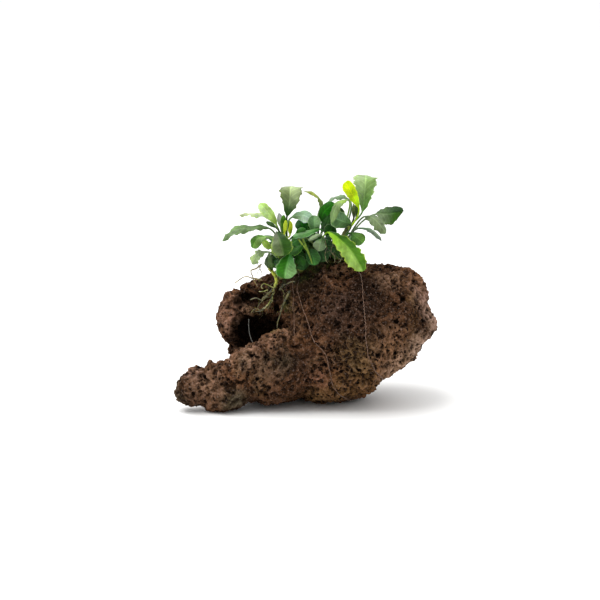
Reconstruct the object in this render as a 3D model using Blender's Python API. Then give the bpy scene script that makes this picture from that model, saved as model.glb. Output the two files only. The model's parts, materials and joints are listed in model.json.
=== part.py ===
"""Bucephalandra growing on a lava stone: a porous volcanic stone with a hollow in its left end, and a small
epiphytic plant tied to its crown with cotton thread.

Lengths are millimetres, turned into metres when a mesh is made. Frame: +X to the right along the stone,
+Y away from the front face, +Z up. The stone rests on Z = 0.
"""

import math

import bmesh
import bpy
import numpy as np
from mathutils import Matrix, Vector, noise
from mathutils.bvhtree import BVHTree

MM = 0.001

# Driving dimensions, in millimetres. TO_ORIGIN brings the middle of the object's box over the origin.
TO_ORIGIN = (-1.2, -2.7, 0.0)
STONE_TRIANGLES = 4700
STONE_VOXEL = 1.1
RHIZOME_VOXEL = 0.4
CRAG_DEPTH = 1.7
CRAG_WIDTH = 15.0
RIDGE_DEPTH = 2.0
RIDGE_WIDTH = 9.0
FOAM_DEPTH = 1.5
FOAM_WIDTH = 5.0
FOAM_FREE_HEIGHT = 7.0
PIT_DEPTH = 3.0
PIT_SPACING = 11.0
PIT_FREE_CELLS = 0.35
CLEARANCE = 0.3
RHIZOME_LIFT = 0.6
THREAD_LIFT = 0.35
STEM_RADIUS = 1.9
RHIZOME_RADIUS = 2.1
RHIZOME_TRIANGLES = 520
PETIOLE_RADIUS = 0.5
LEAF_THICKNESS = 0.5
THREAD_RADIUS = 0.22

# Overlapping ellipsoids of the stone: centre, half-axes, and lean about Y in degrees
STONE_LUMPS = {
    "core": ((29, 3, 45), (41.5, 38, 34), 0),
    "upper right": ((47.5, 6, 54), (23, 32, 23.5), 0),
    "upper right corner": ((55.5, 4, 64), (12, 18, 13.5), 0),
    "right nose": ((60, 4, 46), (15.5, 25, 13), 0),
    "belly": ((14, 3, 24), (36, 33, 24.8), 0),
    "shoulder": ((9, 4, 59), (23.5, 27, 20), 0),
    "crown": ((16.5, -2, 75), (16.5, 12, 8.5), 0),
    "arm root": ((-16, -16, 25), (30, 16, 19.5), -22),
    "arm shoulder": ((-32, -18, 26), (15, 9, 9.5), -22),
    "arm": ((-42, -21, 15), (23, 12, 14.5), -16),
    "arm tip": ((-62, -22, 13), (11.5, 9, 10), 0),
    "arm knob": ((-62.5, -21, 20.5), (5.5, 6, 6), 0),
    "second arm knob": ((-53, -20, 24), (4, 5, 5.5), 0),
    "back wall root": ((-13, 21, 53), (19, 13, 18.5), 0),
    "back wall": ((-28, 19, 49), (13.5, 11, 17.5), 0),
    "back wall foot": ((-24, 20, 24), (22, 11, 18), 0),
    "left wall": ((-41.8, 9, 47.5), (8.6, 11, 16.3), 0),
    "left wall foot": ((-34.5, 6, 33), (6.5, 11, 12), 0),
    "hollow floor": ((-20, 4, 11), (26, 24, 11.6), 0),
    "ledge between hollow and slit": ((-29, 2.5, 52.2), (12, 6.5, 3.2), 0),
}
HOLLOW_CUTS = {
    "lower hollow": ((-28, -2, 38), (13.5, 20, 11.5), 0),
    "reach under the shoulder": ((-20, -2, 40), (8.5, 16, 9), 0),
    "upper slit": ((-31.5, 1, 58), (8.5, 15, 2.8), 0),
    "gap beside the shoulder": ((-15.5, -1, 59), (2.4, 11, 8), 0),
}

# Axis of each upright stem, from its foot to its tip
STEMS = {
    "left": ((-10, -10, 78), (-12, -9, 97)),
    "middle": ((5, 0, 82), (8, -1, 98)),
    "right": ((17, 2, 84), (25, 0, 103)),
}

# The creeping rhizome: it lies on the crown of the stone, and no lower than the last number of each place
RHIZOME = [
    (-15, -13, 75), (-10, -10, 76.5), (-3, -5, 78), (5, 0, 78),
    (11, 2, 78), (17, 2, 78), (24, 4, 78), (29, 7, 78),
]

# Leaf: stem, height on the stem, points of the midrib from the foot of the blade to its tip,
# blade width, the way the upper face looks, fold, wave, and how fast the tip narrows
LEAVES = {
    "leaf_left_1": ("left", 0.59,
                    [(-19.3, -11.9, 102.3), (-31.5, -15.9, 103.8), (-39.4, -17.9, 102.6), (-46, -18.9, 96.7)],
                    6.3, (-0.1, -0.7, 1), 0.25, 0.9, 0.6),
    "leaf_left_2": ("left", 0.79, [(-15.9, -7.1, 103.4), (-20.8, -1.1, 109.7), (-25.8, 3.9, 114.5)],
                    6.6, (0.3, -1, 0.2), 0.15, 0.4, 0.45),
    "leaf_left_3": ("left", 0.83, [(-19.4, 4.3, 105.3), (-27.5, 9.5, 107.5), (-38, 14.5, 106.2)],
                    6, (0, -0.2, 1), 0.3, 0.8, 0.7),
    "leaf_left_4": ("left", 0.97,
                    [(-10.3, -10, 108.8), (-8.9, -11.5, 117.9), (-7.2, -9.5, 125.4), (-5.7, -3, 124.3)],
                    12.8, (0, -1, 0.1), 0.15, 0.5, 0.22),
    "leaf_left_5": ("left", 0.9, [(-7.8, -5.1, 107.8), (-1.8, -6.1, 109.4), (4.5, -7.1, 106.3)],
                    8, (0.2, -0.75, 0.65), 0.2, 0.3, 0.5),
    "leaf_left_6": ("left", 0.6, [(-16, -17, 101.5), (-13.8, -22, 96.7), (-12, -24, 89.5)],
                    12.2, (-0.1, -0.9, 0.45), 0.2, 0.5, 0.4),
    "leaf_left_7": ("left", 0.45, [(-21.3, -17.4, 98.9), (-26.5, -20.1, 98.3), (-29.2, -20.5, 93)],
                    8, (-0.3, -0.7, 0.7), 0.2, 0.3, 0.45),
    "leaf_left_8": ("left", 0.2, [(-20.6, -14, 89.7), (-25.2, -16, 89.8), (-29.8, -17, 83.3)],
                    7.4, (-0.2, -0.5, 0.85), 0.2, 0.5, 0.5),
    "leaf_left_9": ("left", 0.33, [(-20, -9.3, 88.4), (-20.8, -12.7, 85.5), (-20.3, -8.6, 78)],
                    6.5, (-0.6, -0.75, 0.2), 0.2, 0.3, 0.5),
    "leaf_left_10": ("left", 0.25, [(-8.6, -19, 89.6), (-10.3, -22, 83.2), (-11.5, -22, 76.2)],
                    11.8, (0.1, -0.95, 0.3), 0.2, 0.4, 0.4),
    "leaf_left_11": ("left", 0.33, [(-1.1, -18.1, 94.6), (-4.7, -19.6, 91.9), (-8.7, -22.9, 90.2)],
                    5, (0, -0.6, 0.8), 0.3, 0.2, 0.6),
    "leaf_left_12": ("left", 0.07, [(-3.3, -10.5, 89.6), (-1.9, -13.5, 84.8), (-0.7, -13.5, 79.3)],
                    8, (0.2, -0.9, 0.3), 0.2, 0.2, 0.5),
    "leaf_left_13": ("left", 0.27, [(-19, -17.4, 92.2), (-21.1, -17.4, 93.9), (-23.5, -17.3, 97.3)],
                    4, (0, -1, 0.3), 0.3, 0.2, 0.7),
    "leaf_left_14": ("left", 1, [(-8.6, -2.1, 97.2), (-8.6, -1.6, 101.1), (-8.9, -1.6, 105.5)],
                    3.4, (0, -1, 0), 0.4, 0, 0.6),
    "leaf_left_15": ("left", 0.95, [(-13.8, 0, 101.4), (-14.3, 4, 105.2), (-14.9, 8, 108.4)],
                    3.6, (0, -1, 0), 0.4, 0.2, 0.7),
    "leaf_left_16": ("left", 0.5, [(-0.6, -9, 96.2), (-4, -11, 96.1), (-7.4, -11, 94)],
                    7, (0, -0.8, 0.6), 0.2, 0.2, 0.45),
    "leaf_left_17": ("left", 0.11, [(-16.2, -6.5, 89), (-17.9, -7.3, 85.4), (-17.2, -1.4, 78)],
                    8, (-0.3, -0.9, 0.2), 0.2, 0.2, 0.5),
    "leaf_left_18": ("left", 0.65, [(-15, -2, 92), (-21, 7, 95.5), (-27, 16, 91)],
                    10, (-0.2, 0.5, 1), 0.2, 0.5, 0.45),
    "leaf_left_19": ("left", 0.3, [(-9, -3, 88), (-8, 9, 90), (-10, 20, 84)],
                    9, (0, 0.3, 1), 0.2, 0.5, 0.45),
    "leaf_middle_1": ("middle", 0.99, [(-0.1, -5.6, 97.8), (-1.3, -5.7, 101.5), (-2.7, -1.7, 106.4)],
                    7.6, (0, -1, 0.1), 0.2, 0.3, 0.45),
    "leaf_middle_2": ("middle", 0.85, [(5.2, -9, 99.2), (5.2, -11, 104.3), (4.9, -9.5, 109.8)],
                    7.2, (0, -1, 0.1), 0.2, 0.3, 0.45),
    "leaf_middle_3": ("middle", 0.59, [(8.3, -12, 102.3), (1.2, -14.9, 100.7), (-7.1, -15.8, 98.7)],
                    5, (0, -0.6, 0.8), 0.15, 0.3, 0.5),
    "leaf_middle_4": ("middle", 0.96, [(8.3, -4.9, 104.8), (11, -6.2, 111.5), (16.6, -5.1, 115.9)],
                    6.6, (-0.2, -1, 0.1), 0.2, 0.3, 0.5),
    "leaf_middle_5": ("middle", 1, [(7.4, 1, 108.2), (9.5, 4, 114.6), (5.7, 6, 119.4), (-0.6, 5, 121.4)],
                    4.6, (0.7, -0.35, 0.6), 0.3, 0.4, 0.7),
    "leaf_middle_6": ("middle", 0.34, [(9.5, -14.9, 97.6), (8.3, -19.4, 95.3), (7.7, -17.4, 90.8)],
                    7.4, (0, -1, 0.1), 0.35, 0.2, 0.4),
    "leaf_middle_7": ("middle", 0.12, [(0.8, -12, 91), (4, -15.5, 87.9), (5.2, -17, 82.7)],
                    8, (-0.1, -0.9, 0.3), 0.2, 0.3, 0.5),
    "leaf_middle_8": ("middle", 0.42, [(12.8, -3.6, 96.6), (13.2, -6.8, 91.2), (14.3, -6.9, 86.7)],
                    7, (0.2, -0.9, 0.3), 0.2, 0.3, 0.5),
    "leaf_middle_9": ("middle", 0.05, [(8.3, -11, 90.5), (9.8, -13.7, 87.9), (11.3, -14.3, 84.3)],
                    7, (0, -0.9, 0.4), 0.2, 0.3, 0.5),
    "leaf_middle_10": ("middle", 0.6, [(12.6, -8, 99.8), (22.3, -16, 94.2), (32.1, -22, 80.3)],
                    11.5, (0.3, -0.8, 0.55), 0.12, 0.7, 0.38),
    "leaf_middle_11": ("middle", 0.49, [(15.8, 6.2, 93.1), (16.2, 5.7, 89), (20.1, 6.7, 83.2)],
                    10, (0.2, -0.9, 0.3), 0.2, 0.3, 0.5),
    "leaf_middle_12": ("middle", 0.39, [(11, 12.6, 90.6), (8.8, 11.5, 86.9), (10.2, 4.6, 82.9)],
                    9, (0, -1, 0.2), 0.2, 0.3, 0.5),
    "leaf_middle_13": ("middle", 0.9, [(9.2, 2, 98), (12, 6, 101.3), (14.9, 10, 107.4)],
                    7.5, (0, -1, 0.1), 0.2, 0.3, 0.45),
    "leaf_middle_14": ("middle", 0.36, [(3.6, -1, 95.3), (2, -4.7, 92.5), (1.6, -4.1, 87)],
                    9, (0, -1, 0.2), 0.2, 0.3, 0.5),
    "leaf_middle_15": ("middle", 0.7, [(6.9, 7.2, 89.9), (5.4, 12.9, 95.5), (3.9, 22.9, 89.9)],
                    9, (0, 0.3, 1), 0.2, 0.5, 0.45),
    "leaf_middle_16": ("middle", 0.31, [(11.3, 5.6, 87.6), (16, 12.3, 87.8), (16.7, 21.7, 81.3)],
                    8.5, (0.1, 0.3, 1), 0.2, 0.5, 0.45),
    "leaf_right_1": ("right", 0.88, [(30.3, -4.3, 112.7), (27.3, -6.4, 119.8), (22.4, -9.2, 128.6)],
                    6.8, (0.2, -1, 0.1), 0.2, 0.3, 0.36),
    "leaf_right_2": ("right", 1, [(32.4, 5, 109.1), (33.8, 9, 117.6), (34.7, 13, 126.7), (35, 19, 126.6)],
                    13.6, (0, -1, 0.1), 0.15, 0.7, 0.22),
    "leaf_right_3": ("right", 0.51, [(40.3, 5.2, 108.1), (48, 7.4, 107.8), (56.5, 11.5, 108.8)],
                    11.5, (0, -0.85, 0.55), 0.5, 0.4, 0.8),
    "leaf_right_4": ("right", 0.62, [(33.1, -2.7, 107.8), (39.1, -14.1, 108), (45.2, -14.5, 100.5)],
                    8, (0.3, -0.8, 0.5), 0.25, 0.6, 0.45),
    "leaf_right_5": ("right", 0.52, [(29.5, -3.4, 101.2), (34.7, -0.2, 100.8), (42.9, -11.4, 95.5)],
                    4.5, (0.1, -0.25, 1), 0.3, 0.3, 0.8),
    "leaf_right_6": ("right", 0.3, [(25.8, -5, 98.9), (29.2, -8, 96.9), (32.7, -9, 93.9)],
                    8, (0, -0.9, 0.4), 0.2, 0.3, 0.45),
    "leaf_right_7": ("right", 0.9, [(24.9, -2.6, 116.9), (18.1, -13.1, 116.8), (14.5, -14.8, 106.3)],
                    6.5, (-0.5, -0.6, 0.6), 0.25, 0.3, 0.6),
    "leaf_right_8": ("right", 1, [(25.2, 4, 116.3), (18.9, 8, 117.8), (11.5, 11, 113.1)],
                    6, (0, -0.4, 1), 0.2, 0.6, 0.6),
    "leaf_right_9": ("right", 0.7, [(25.8, -6, 103.8), (20.6, -10, 106.7), (14.9, -11, 109)],
                    10, (0, -1, 0.15), 0.2, 0.3, 0.4),
    "leaf_right_10": ("right", 0.69, [(27.5, 4, 105.3), (27.8, -1.5, 111.1), (27.3, 0.1, 115.2)],
                    3, (0, -1, 0), 0.5, 0, 0.8),
    "leaf_right_11": ("right", 0.55, [(24, 8, 92), (28, 18, 94), (32, 29, 88)],
                    10, (0, 0.3, 1), 0.2, 0.5, 0.45),
    "leaf_right_12": ("right", 0.35, [(20.6, 4.5, 91.5), (15.7, 20.1, 89.6), (14.3, 30.9, 84)],
                    9, (-0.2, 0.3, 1), 0.2, 0.5, 0.45),
}

# Root: points of its centreline from the crown down, and its radius
ROOTS = {
    "root_1": ([(-16, -13, 74), (-16.3, -9, 71), (-17.2, -5, 67.3), (-18.3, -3, 62.7), (-18.9, -2.5, 59.1),
                (-21.2, -3, 56.9), (-24.6, -4, 54.8)], 0.75),
    "root_2": ([(-18.7, -6.2, 66.4), (-21.2, -5, 63.2), (-24.6, -4, 60), (-28.1, -3.5, 61.1),
                (-31.5, -3, 59.8)], 0.5),
    "root_3": ([(-24.6, -15, 82.9), (-27.5, -14, 80.3), (-30.4, -12, 78.7), (-29.8, -9, 74.6),
                (-26.9, -3, 67.6)], 0.35),
    "root_4": ([(-24.6, -12, 73.4), (-30.4, -12.5, 74.7), (-33.8, -12, 75.2), (-37.2, -11, 73.2),
                (-40.1, -10, 70.7)], 0.35),
    "root_5": ([(-14.5, -11, 67.5), (-11.5, -14, 71), (-5.7, -21, 74.3)], 0.45),
    "root_6": ([(-8.6, -21, 68.7), (-11.5, -18, 62.2), (-13.8, -15, 55.1), (-15.5, -13, 48.8),
                (-16, -13, 45.5)], 0.45),
}

# Thread: whether it closes on itself, and the places it passes. "front" and "back" places are (x, z),
# "over" and "under" places are (x, y)
THREADS = {
    "thread_right": (True, [
        ("over", 29, 9), ("over", 30.5, -8), ("front", 32, 64.5), ("front", 33.2, 47), ("front", 35.2, 34),
        ("front", 42, 21), ("under", 46, 2), ("back", 42, 24), ("back", 34, 50), ("back", 30, 68),
    ]),
    "thread_middle": (True, [
        ("over", -2, 8), ("over", -4, -12), ("front", -4.6, 68), ("front", 0, 58.6), ("front", 5.7, 46.9),
        ("front", 12, 34), ("front", 14.5, 20), ("under", 27, -4), ("back", 27, 22), ("back", 12, 45),
        ("back", 3, 66),
    ]),
    "thread_left": (False, [
        ("over", -5, 2), ("over", -6, -14), ("front", -6.2, 64.5), ("front", -6, 55), ("front", -5.7, 44),
    ]),
}
# A loose thread end that hangs in the hollow, from the ledge to the arm
LOOSE_THREAD = [(-32.1, -6.5, 49.5), (-31.9, -8.5, 43), (-30.5, -11.5, 38.5), (-29, -13, 36)]


def clear_scene():
    """Empties the scene, so that the script also runs from the text editor."""
    for obj in list(bpy.data.objects):
        bpy.data.objects.remove(obj)


def material(name, colour, roughness):
    """A Principled material of one colour, given as linear red, green and blue."""
    made = bpy.data.materials.new(name)
    made.use_nodes = True
    shader = made.node_tree.nodes["Principled BSDF"]
    shader.inputs["Base Color"].default_value = (*colour, 1)
    shader.inputs["Roughness"].default_value = roughness
    shader.inputs["Metallic"].default_value = 0
    return made


def object_of(name, mesh, finish):
    """A new object in the scene that shows this mesh with this material."""
    obj = bpy.data.objects.new(name, mesh)
    bpy.context.scene.collection.objects.link(obj)
    if finish:
        mesh.materials.append(finish)
    return obj


def applied(obj):
    """The object with its modifiers turned into its mesh."""
    graph = bpy.context.evaluated_depsgraph_get()
    mesh = bpy.data.meshes.new_from_object(obj.evaluated_get(graph))
    obj.modifiers.clear()
    obj.data = mesh
    return obj


def ellipsoids(lumps):
    """One mesh that holds these overlapping ellipsoids."""
    shape = bmesh.new()
    for centre, half_axes, lean in lumps.values():
        place = Matrix.Translation(Vector(centre) * MM)
        turn = Matrix.Rotation(math.radians(lean), 4, "Y")
        stretch = Matrix.Diagonal((*(Vector(half_axes) * MM), 1))
        bmesh.ops.create_icosphere(shape, subdivisions=4, radius=1.0, matrix=place @ turn @ stretch)
    mesh = bpy.data.meshes.new("ellipsoids")
    shape.to_mesh(mesh)
    shape.free()
    return mesh


def one_skin(obj, voxel, rounds):
    """Remeshes overlapping shells into one skin, and rounds the creases between them over some rounds."""
    skin = obj.modifiers.new("one skin", "REMESH")
    skin.mode = "VOXEL"
    skin.voxel_size = voxel * MM
    soften = obj.modifiers.new("soften", "SMOOTH")
    soften.factor = 0.6
    soften.iterations = rounds
    return applied(obj)


def joined(name, parts):
    """Joins these objects into one with overlapping shells, and removes them."""
    shape = bmesh.new()
    for part in parts:
        shape.from_mesh(part.data)
    mesh = bpy.data.meshes.new(name)
    shape.to_mesh(mesh)
    shape.free()
    finish = parts[0].data.materials[0]
    for part in parts:
        bpy.data.objects.remove(part)
    return object_of(name, mesh, finish)


def with_triangles(obj, count):
    """The object with about this many triangles."""
    fewer = obj.modifiers.new("fewer faces", "DECIMATE")
    fewer.ratio = count / sum(len(face.vertices) - 2 for face in obj.data.polygons)
    return applied(obj)


def pit_depth(point):
    """How deep a gas pit is at this place: some cells of a Voronoi pattern hold one round pit, each of its
    own width."""
    distances, centres = noise.voronoi(point / PIT_SPACING)
    lot = noise.cell(centres[0] * 37.0)
    if lot < PIT_FREE_CELLS:
        return 0.0
    width = 0.22 + 0.16 * lot
    return PIT_DEPTH * max(0.0, 1.0 - (distances[0] / width) ** 2) * (0.6 + 0.6 * lot)


def foam_depth(point):
    """How far the foam's open cells lie below the ridges between them. They fade out towards the foot, which
    keeps the flat faces that the stone rests on."""
    depth = min(1.0, 3.2 * abs(noise.noise(point / FOAM_WIDTH)))
    return FOAM_DEPTH * depth * min(1.0, max(0.0, point.z / FOAM_FREE_HEIGHT - 0.3))


def crags_and_pits(mesh):
    """Moves each point of the stone along its normal: broad crags, which are deepest on the front and back
    faces, sharper ridges, the foam's open cells, and gas pits."""
    points = [v.co / MM for v in mesh.vertices]
    normals = [v.normal.copy() for v in mesh.vertices]
    for vertex, point, normal in zip(mesh.vertices, points, normals):
        crag = noise.fractal(point / CRAG_WIDTH, 0.8, 2.1, 3) * CRAG_DEPTH * (1 + 1.4 * abs(normal.y))
        ridge = (0.4 - abs(noise.noise(point / RIDGE_WIDTH))) * RIDGE_DEPTH
        vertex.co = (point + normal * (crag + ridge - foam_depth(point) - pit_depth(point))) * MM
    mesh.update()


def keep_main_shell(shape):
    """Removes every shell of the mesh but the one that holds its highest point."""
    top = max(shape.verts, key=lambda vert: vert.co.z)
    reached = {top}
    waiting = [top]
    while waiting:
        for edge in waiting.pop().link_edges:
            for vert in edge.verts:
                if vert not in reached:
                    reached.add(vert)
                    waiting.append(vert)
    loose = [vert for vert in shape.verts if vert not in reached]
    bmesh.ops.delete(shape, geom=loose, context="VERTS")


def cut_flat_at_floor(mesh):
    """Cuts the mesh off at Z = 0, which makes the flat faces that the stone rests on. A dent in such a face
    would be left as a sealed hollow, so it is dropped."""
    shape = bmesh.new()
    shape.from_mesh(mesh)
    everything = shape.verts[:] + shape.edges[:] + shape.faces[:]
    bmesh.ops.bisect_plane(shape, geom=everything, plane_co=(0, 0, 0), plane_no=(0, 0, -1), clear_outer=True)
    bmesh.ops.holes_fill(shape, edges=[edge for edge in shape.edges if edge.is_boundary])
    bmesh.ops.triangulate(shape, faces=shape.faces[:])
    keep_main_shell(shape)
    shape.to_mesh(mesh)
    shape.free()


def lava_stone(finish):
    """The stone: lumps in one skin, the hollow cut into its left end, pits, and a flat foot."""
    stone = one_skin(object_of("stone", ellipsoids(STONE_LUMPS), finish), STONE_VOXEL, 8)
    cutter = one_skin(object_of("hollow cutter", ellipsoids(HOLLOW_CUTS), None), STONE_VOXEL, 1)
    hollow = stone.modifiers.new("hollow", "BOOLEAN")
    hollow.operation = "DIFFERENCE"
    hollow.object = cutter
    applied(stone)
    bpy.data.objects.remove(cutter)
    one_skin(stone, STONE_VOXEL, 2)
    crags_and_pits(stone.data)
    with_triangles(stone, STONE_TRIANGLES)
    cut_flat_at_floor(stone.data)
    return stone


def smooth_curve(points, stations):
    """Places at these fractions of the chord length along a smooth curve through the given points."""
    points = np.array(points, float)
    chord = np.concatenate([[0.0], np.cumsum(np.linalg.norm(np.diff(points, axis=0), axis=1))])
    gaps = np.diff(chord)[:, None]
    slopes = np.diff(points, axis=0) / gaps
    inner = (slopes[:-1] * gaps[1:] + slopes[1:] * gaps[:-1]) / (gaps[:-1] + gaps[1:])
    if len(inner):
        first = 1.5 * slopes[:1] - 0.5 * inner[:1]
        last = 1.5 * slopes[-1:] - 0.5 * inner[-1:]
        tangents = np.concatenate([first, inner, last])
    else:
        tangents = np.repeat(slopes, 2, axis=0)
    at = np.array(stations, float) * chord[-1]
    span = np.clip(np.searchsorted(chord, at, side="right") - 1, 0, len(points) - 2)
    gap = gaps[span]
    s = ((at - chord[span]) / gap[:, 0])[:, None]
    return (
        (2 * s**3 - 3 * s**2 + 1) * points[span]
        + (s**3 - 2 * s**2 + s) * gap * tangents[span]
        + (3 * s**2 - 2 * s**3) * points[span + 1]
        + (s**3 - s**2) * gap * tangents[span + 1]
    )


def unit(vector):
    """The vector at length one."""
    return vector / np.linalg.norm(vector)


def frames(line, across, start):
    """The direction, and two more at right angles, at each point of a line. The second direction starts as
    across at point number start and turns as little as it can from there to both ends."""
    ahead = np.gradient(line, axis=0)
    ahead = ahead / np.linalg.norm(ahead, axis=1)[:, None]
    side = np.zeros_like(line)
    side[start] = unit(across - np.dot(across, ahead[start]) * ahead[start])
    for k in range(start + 1, len(line)):
        side[k] = unit(side[k - 1] - np.dot(side[k - 1], ahead[k]) * ahead[k])
    for k in range(start - 1, -1, -1):
        side[k] = unit(side[k + 1] - np.dot(side[k + 1], ahead[k]) * ahead[k])
    return ahead, side, np.cross(ahead, side)


def mesh_of_rings(name, rings, closed):
    """A closed mesh over rings of equal size. The rings run round the direction of travel. An open row of
    rings gets a flat cap at each end, a closed one joins its last ring to its first."""
    rings = np.array(rings)
    count, size = rings.shape[:2]
    verts = [Vector(point) * MM for ring in rings for point in ring]
    faces = []
    for k in range(count if closed else count - 1):
        a = k * size
        b = (k + 1) % count * size
        for j in range(size):
            n = (j + 1) % size
            faces.append((a + j, a + n, b + n, b + j))
    if not closed:
        faces.append(tuple(reversed(range(size))))
        faces.append(tuple(range((count - 1) * size, count * size)))
    mesh = bpy.data.meshes.new(name)
    mesh.from_pydata(verts, [], faces)
    shape = bmesh.new()
    shape.from_mesh(mesh)
    bmesh.ops.recalc_face_normals(shape, faces=shape.faces[:])
    bmesh.ops.triangulate(shape, faces=shape.faces[:])
    shape.to_mesh(mesh)
    shape.free()
    return mesh


def tube(name, line, radii, sides, finish, closed=False):
    """A tube round a line of points, with a radius at each point."""
    line = np.array(line, float)
    if closed:
        ahead, side, up = frames(np.concatenate([line[-2:], line, line[:2]]), np.array([1.0, 0.3, 0.2]), 0)
        side, up = side[2:-2], up[2:-2]
    else:
        ahead, side, up = frames(line, np.array([1.0, 0.3, 0.2]), 0)
    turns = np.arange(sides) * 2 * math.pi / sides
    radii = np.broadcast_to(np.array(radii, float), (len(line),))[:, None, None]
    ring = np.cos(turns)[None, :, None] * side[:, None] + np.sin(turns)[None, :, None] * up[:, None]
    return object_of(name, mesh_of_rings(name, line[:, None] + radii * ring, closed), finish)


def surface_of(objects):
    """One tree of faces over these objects, in millimetres, for finding their surface."""
    verts, faces = [], []
    for obj in objects:
        first = len(verts)
        verts += [v.co / MM for v in obj.data.vertices]
        faces += [[first + v for v in face.vertices] for face in obj.data.polygons]
    return BVHTree.FromPolygons(verts, faces)


def crown_height(surface, x, y):
    """Height of the surface seen from above at this place."""
    return surface.ray_cast(Vector((x, y, 300)), Vector((0, 0, -1)))[0].z


def rhizome_with_stems(stone, finish):
    """The plant's body: a rhizome that creeps over the crown of the stone, and the upright stems it bears."""
    surface = surface_of([stone])
    stations = np.linspace(0, 1, 16)
    line = smooth_curve(RHIZOME, stations)
    radii = RHIZOME_RADIUS * np.interp(stations, [0, 0.1, 0.8, 1], [0.7, 1, 0.85, 0.45])
    steps = np.linspace(-1, 1, 7)
    for place, radius in zip(line, radii):
        rest = [
            crown_height(surface, place[0] + dx * radius, place[1] + dy * radius)
            + radius * math.sqrt(max(0.0, 1 - dx * dx - dy * dy))
            for dx in steps for dy in steps
        ]
        place[2] = max(place[2], max(rest) + RHIZOME_LIFT)
    parts = [tube("creeping part", line, radii, 10, finish)]
    for name, (foot, tip) in STEMS.items():
        nearest = line[np.argmin(np.linalg.norm(line[:, :2] - np.array(foot[:2]), axis=1))]
        root = np.array([foot[0], foot[1], nearest[2]], float)
        heights = np.array([0, 0.12, 0.3, 0.36, 0.55, 0.61, 0.8, 0.93, 1.0])
        widths = STEM_RADIUS * np.array([1.0, 1.05, 0.92, 1.0, 0.85, 0.93, 0.78, 0.6, 0.3])
        parts.append(tube(name, root + (np.array(tip, float) - root) * heights[:, None], widths, 10, finish))
    rhizome = one_skin(joined("rhizome", parts), RHIZOME_VOXEL, 0)
    return with_triangles(rhizome, RHIZOME_TRIANGLES)


def petiole_foot(stem, height, blade_foot):
    """Where a leaf stalk leaves its stem, on the side that faces its blade and just off the surface."""
    low, high = (np.array(end, float) for end in STEMS[stem])
    axis = low + (high - low) * height
    out = np.array(blade_foot, float) - axis
    along = unit(high - low)
    out = unit(out - np.dot(out, along) * along)
    radius = STEM_RADIUS * np.interp(height, [0, 0.6, 0.8, 0.93, 1], [1.05, 0.95, 0.8, 0.62, 0.35])
    return axis + out * (radius + CLEARANCE + PETIOLE_RADIUS)


def leaf_rings(stem, height, midrib, width, face, fold, wave, narrowing, thickness=LEAF_THICKNESS):
    """Rings of four points over a leaf: a stalk that widens into a folded, wavy blade."""
    points = [petiole_foot(stem, height, midrib[0])] + [np.array(point, float) for point in midrib]
    lengths = np.linalg.norm(np.diff(points, axis=0), axis=1)
    foot = lengths[0] / lengths.sum()
    blade = np.array([0, 0.12, 0.28, 0.46, 0.64, 0.8, 0.92, 1.0])
    stalk = np.array([0, 0.5]) * foot
    line = smooth_curve(points, np.concatenate([stalk, foot + (1 - foot) * blade]))
    middle = len(stalk) + 3
    across = np.cross(np.array(face, float), line[middle + 1] - line[middle - 1])
    ahead, side, up = frames(line, across, middle)
    up = -up
    u = np.concatenate([[0, 0], blade])
    peak = 0.9 / (0.9 + narrowing)
    outline = (u**0.9 * (1 - u) ** narrowing) / (peak**0.9 * (1 - peak) ** narrowing)
    half = np.maximum(width / 2 * outline, PETIOLE_RADIUS * np.where(u < 0.5, 1, 0.3))
    thick = np.interp(u, [0, 0.15, 1], [PETIOLE_RADIUS, thickness * 0.6, thickness * 0.4])
    ripple = wave * np.sin(u * 15 + height * 9) * outline
    lift = fold * half * (u > 0)
    return np.stack([
        line - half[:, None] * side + (lift + ripple)[:, None] * up,
        line + thick[:, None] * up,
        line + half[:, None] * side + (lift - ripple)[:, None] * up,
        line - thick[:, None] * up,
    ], axis=1)


def ray_place(surface, kind, a, b):
    """The place on the surface that is seen at these two coordinates from one side."""
    starts = {
        "front": (Vector((a, -300, b)), Vector((0, 1, 0))),
        "back": (Vector((a, 300, b)), Vector((0, -1, 0))),
        "over": (Vector((a, b, 300)), Vector((0, 0, -1))),
        "under": (Vector((a, b, -300)), Vector((0, 0, 1))),
    }
    return np.array(surface.ray_cast(*starts[kind])[0])


def taut_line(surface, places, closed, count, gap):
    """A line through places on the surface that is pulled tight between them and kept this far outside."""
    anchors = [ray_place(surface, *place) for place in places]
    if closed:
        anchors.append(anchors[0])
    anchors = np.array(anchors)
    chord = np.concatenate([[0], np.cumsum(np.linalg.norm(np.diff(anchors, axis=0), axis=1))])
    at = np.linspace(0, chord[-1], count, endpoint=not closed)
    line = np.stack([np.interp(at, chord, anchors[:, k]) for k in range(3)], axis=1)
    pins = {int(np.argmin(abs(at - c))) for c in chord[:-1] if c < chord[-1]}
    for _ in range(150):
        before = line.copy()
        for k in range(count):
            if k not in pins and (closed or 0 < k < count - 1):
                line[k] = (before[k - 1] + before[(k + 1) % count]) / 2
        for k in range(count if closed else count - 1):
            n = (k + 1) % count
            for share in (0, 0.25, 0.5, 0.75):
                place = Vector(line[k] * (1 - share) + line[n] * share)
                near, normal, _, _ = surface.find_nearest(place)
                push = np.array(normal) * max(0.0, gap - (place - near).dot(normal))
                line[k] += push
                line[n] += push * (share > 0)
        line[:, 2] = np.maximum(line[:, 2], gap)
    return line


def binding_threads(stone, rhizome, finish):
    """The cotton thread that ties the plant on: two loops round the stone and an end down its front."""
    surface = surface_of([stone, rhizome])
    for name, (closed, places) in THREADS.items():
        line = taut_line(surface, places, closed, 50 if closed else 16, THREAD_RADIUS + THREAD_LIFT)
        tube(name, line, THREAD_RADIUS, 3, finish, closed)
    loose = smooth_curve(LOOSE_THREAD, np.linspace(0, 1, 7))
    tube("thread_loose", loose, THREAD_RADIUS, 3, finish)


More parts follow.
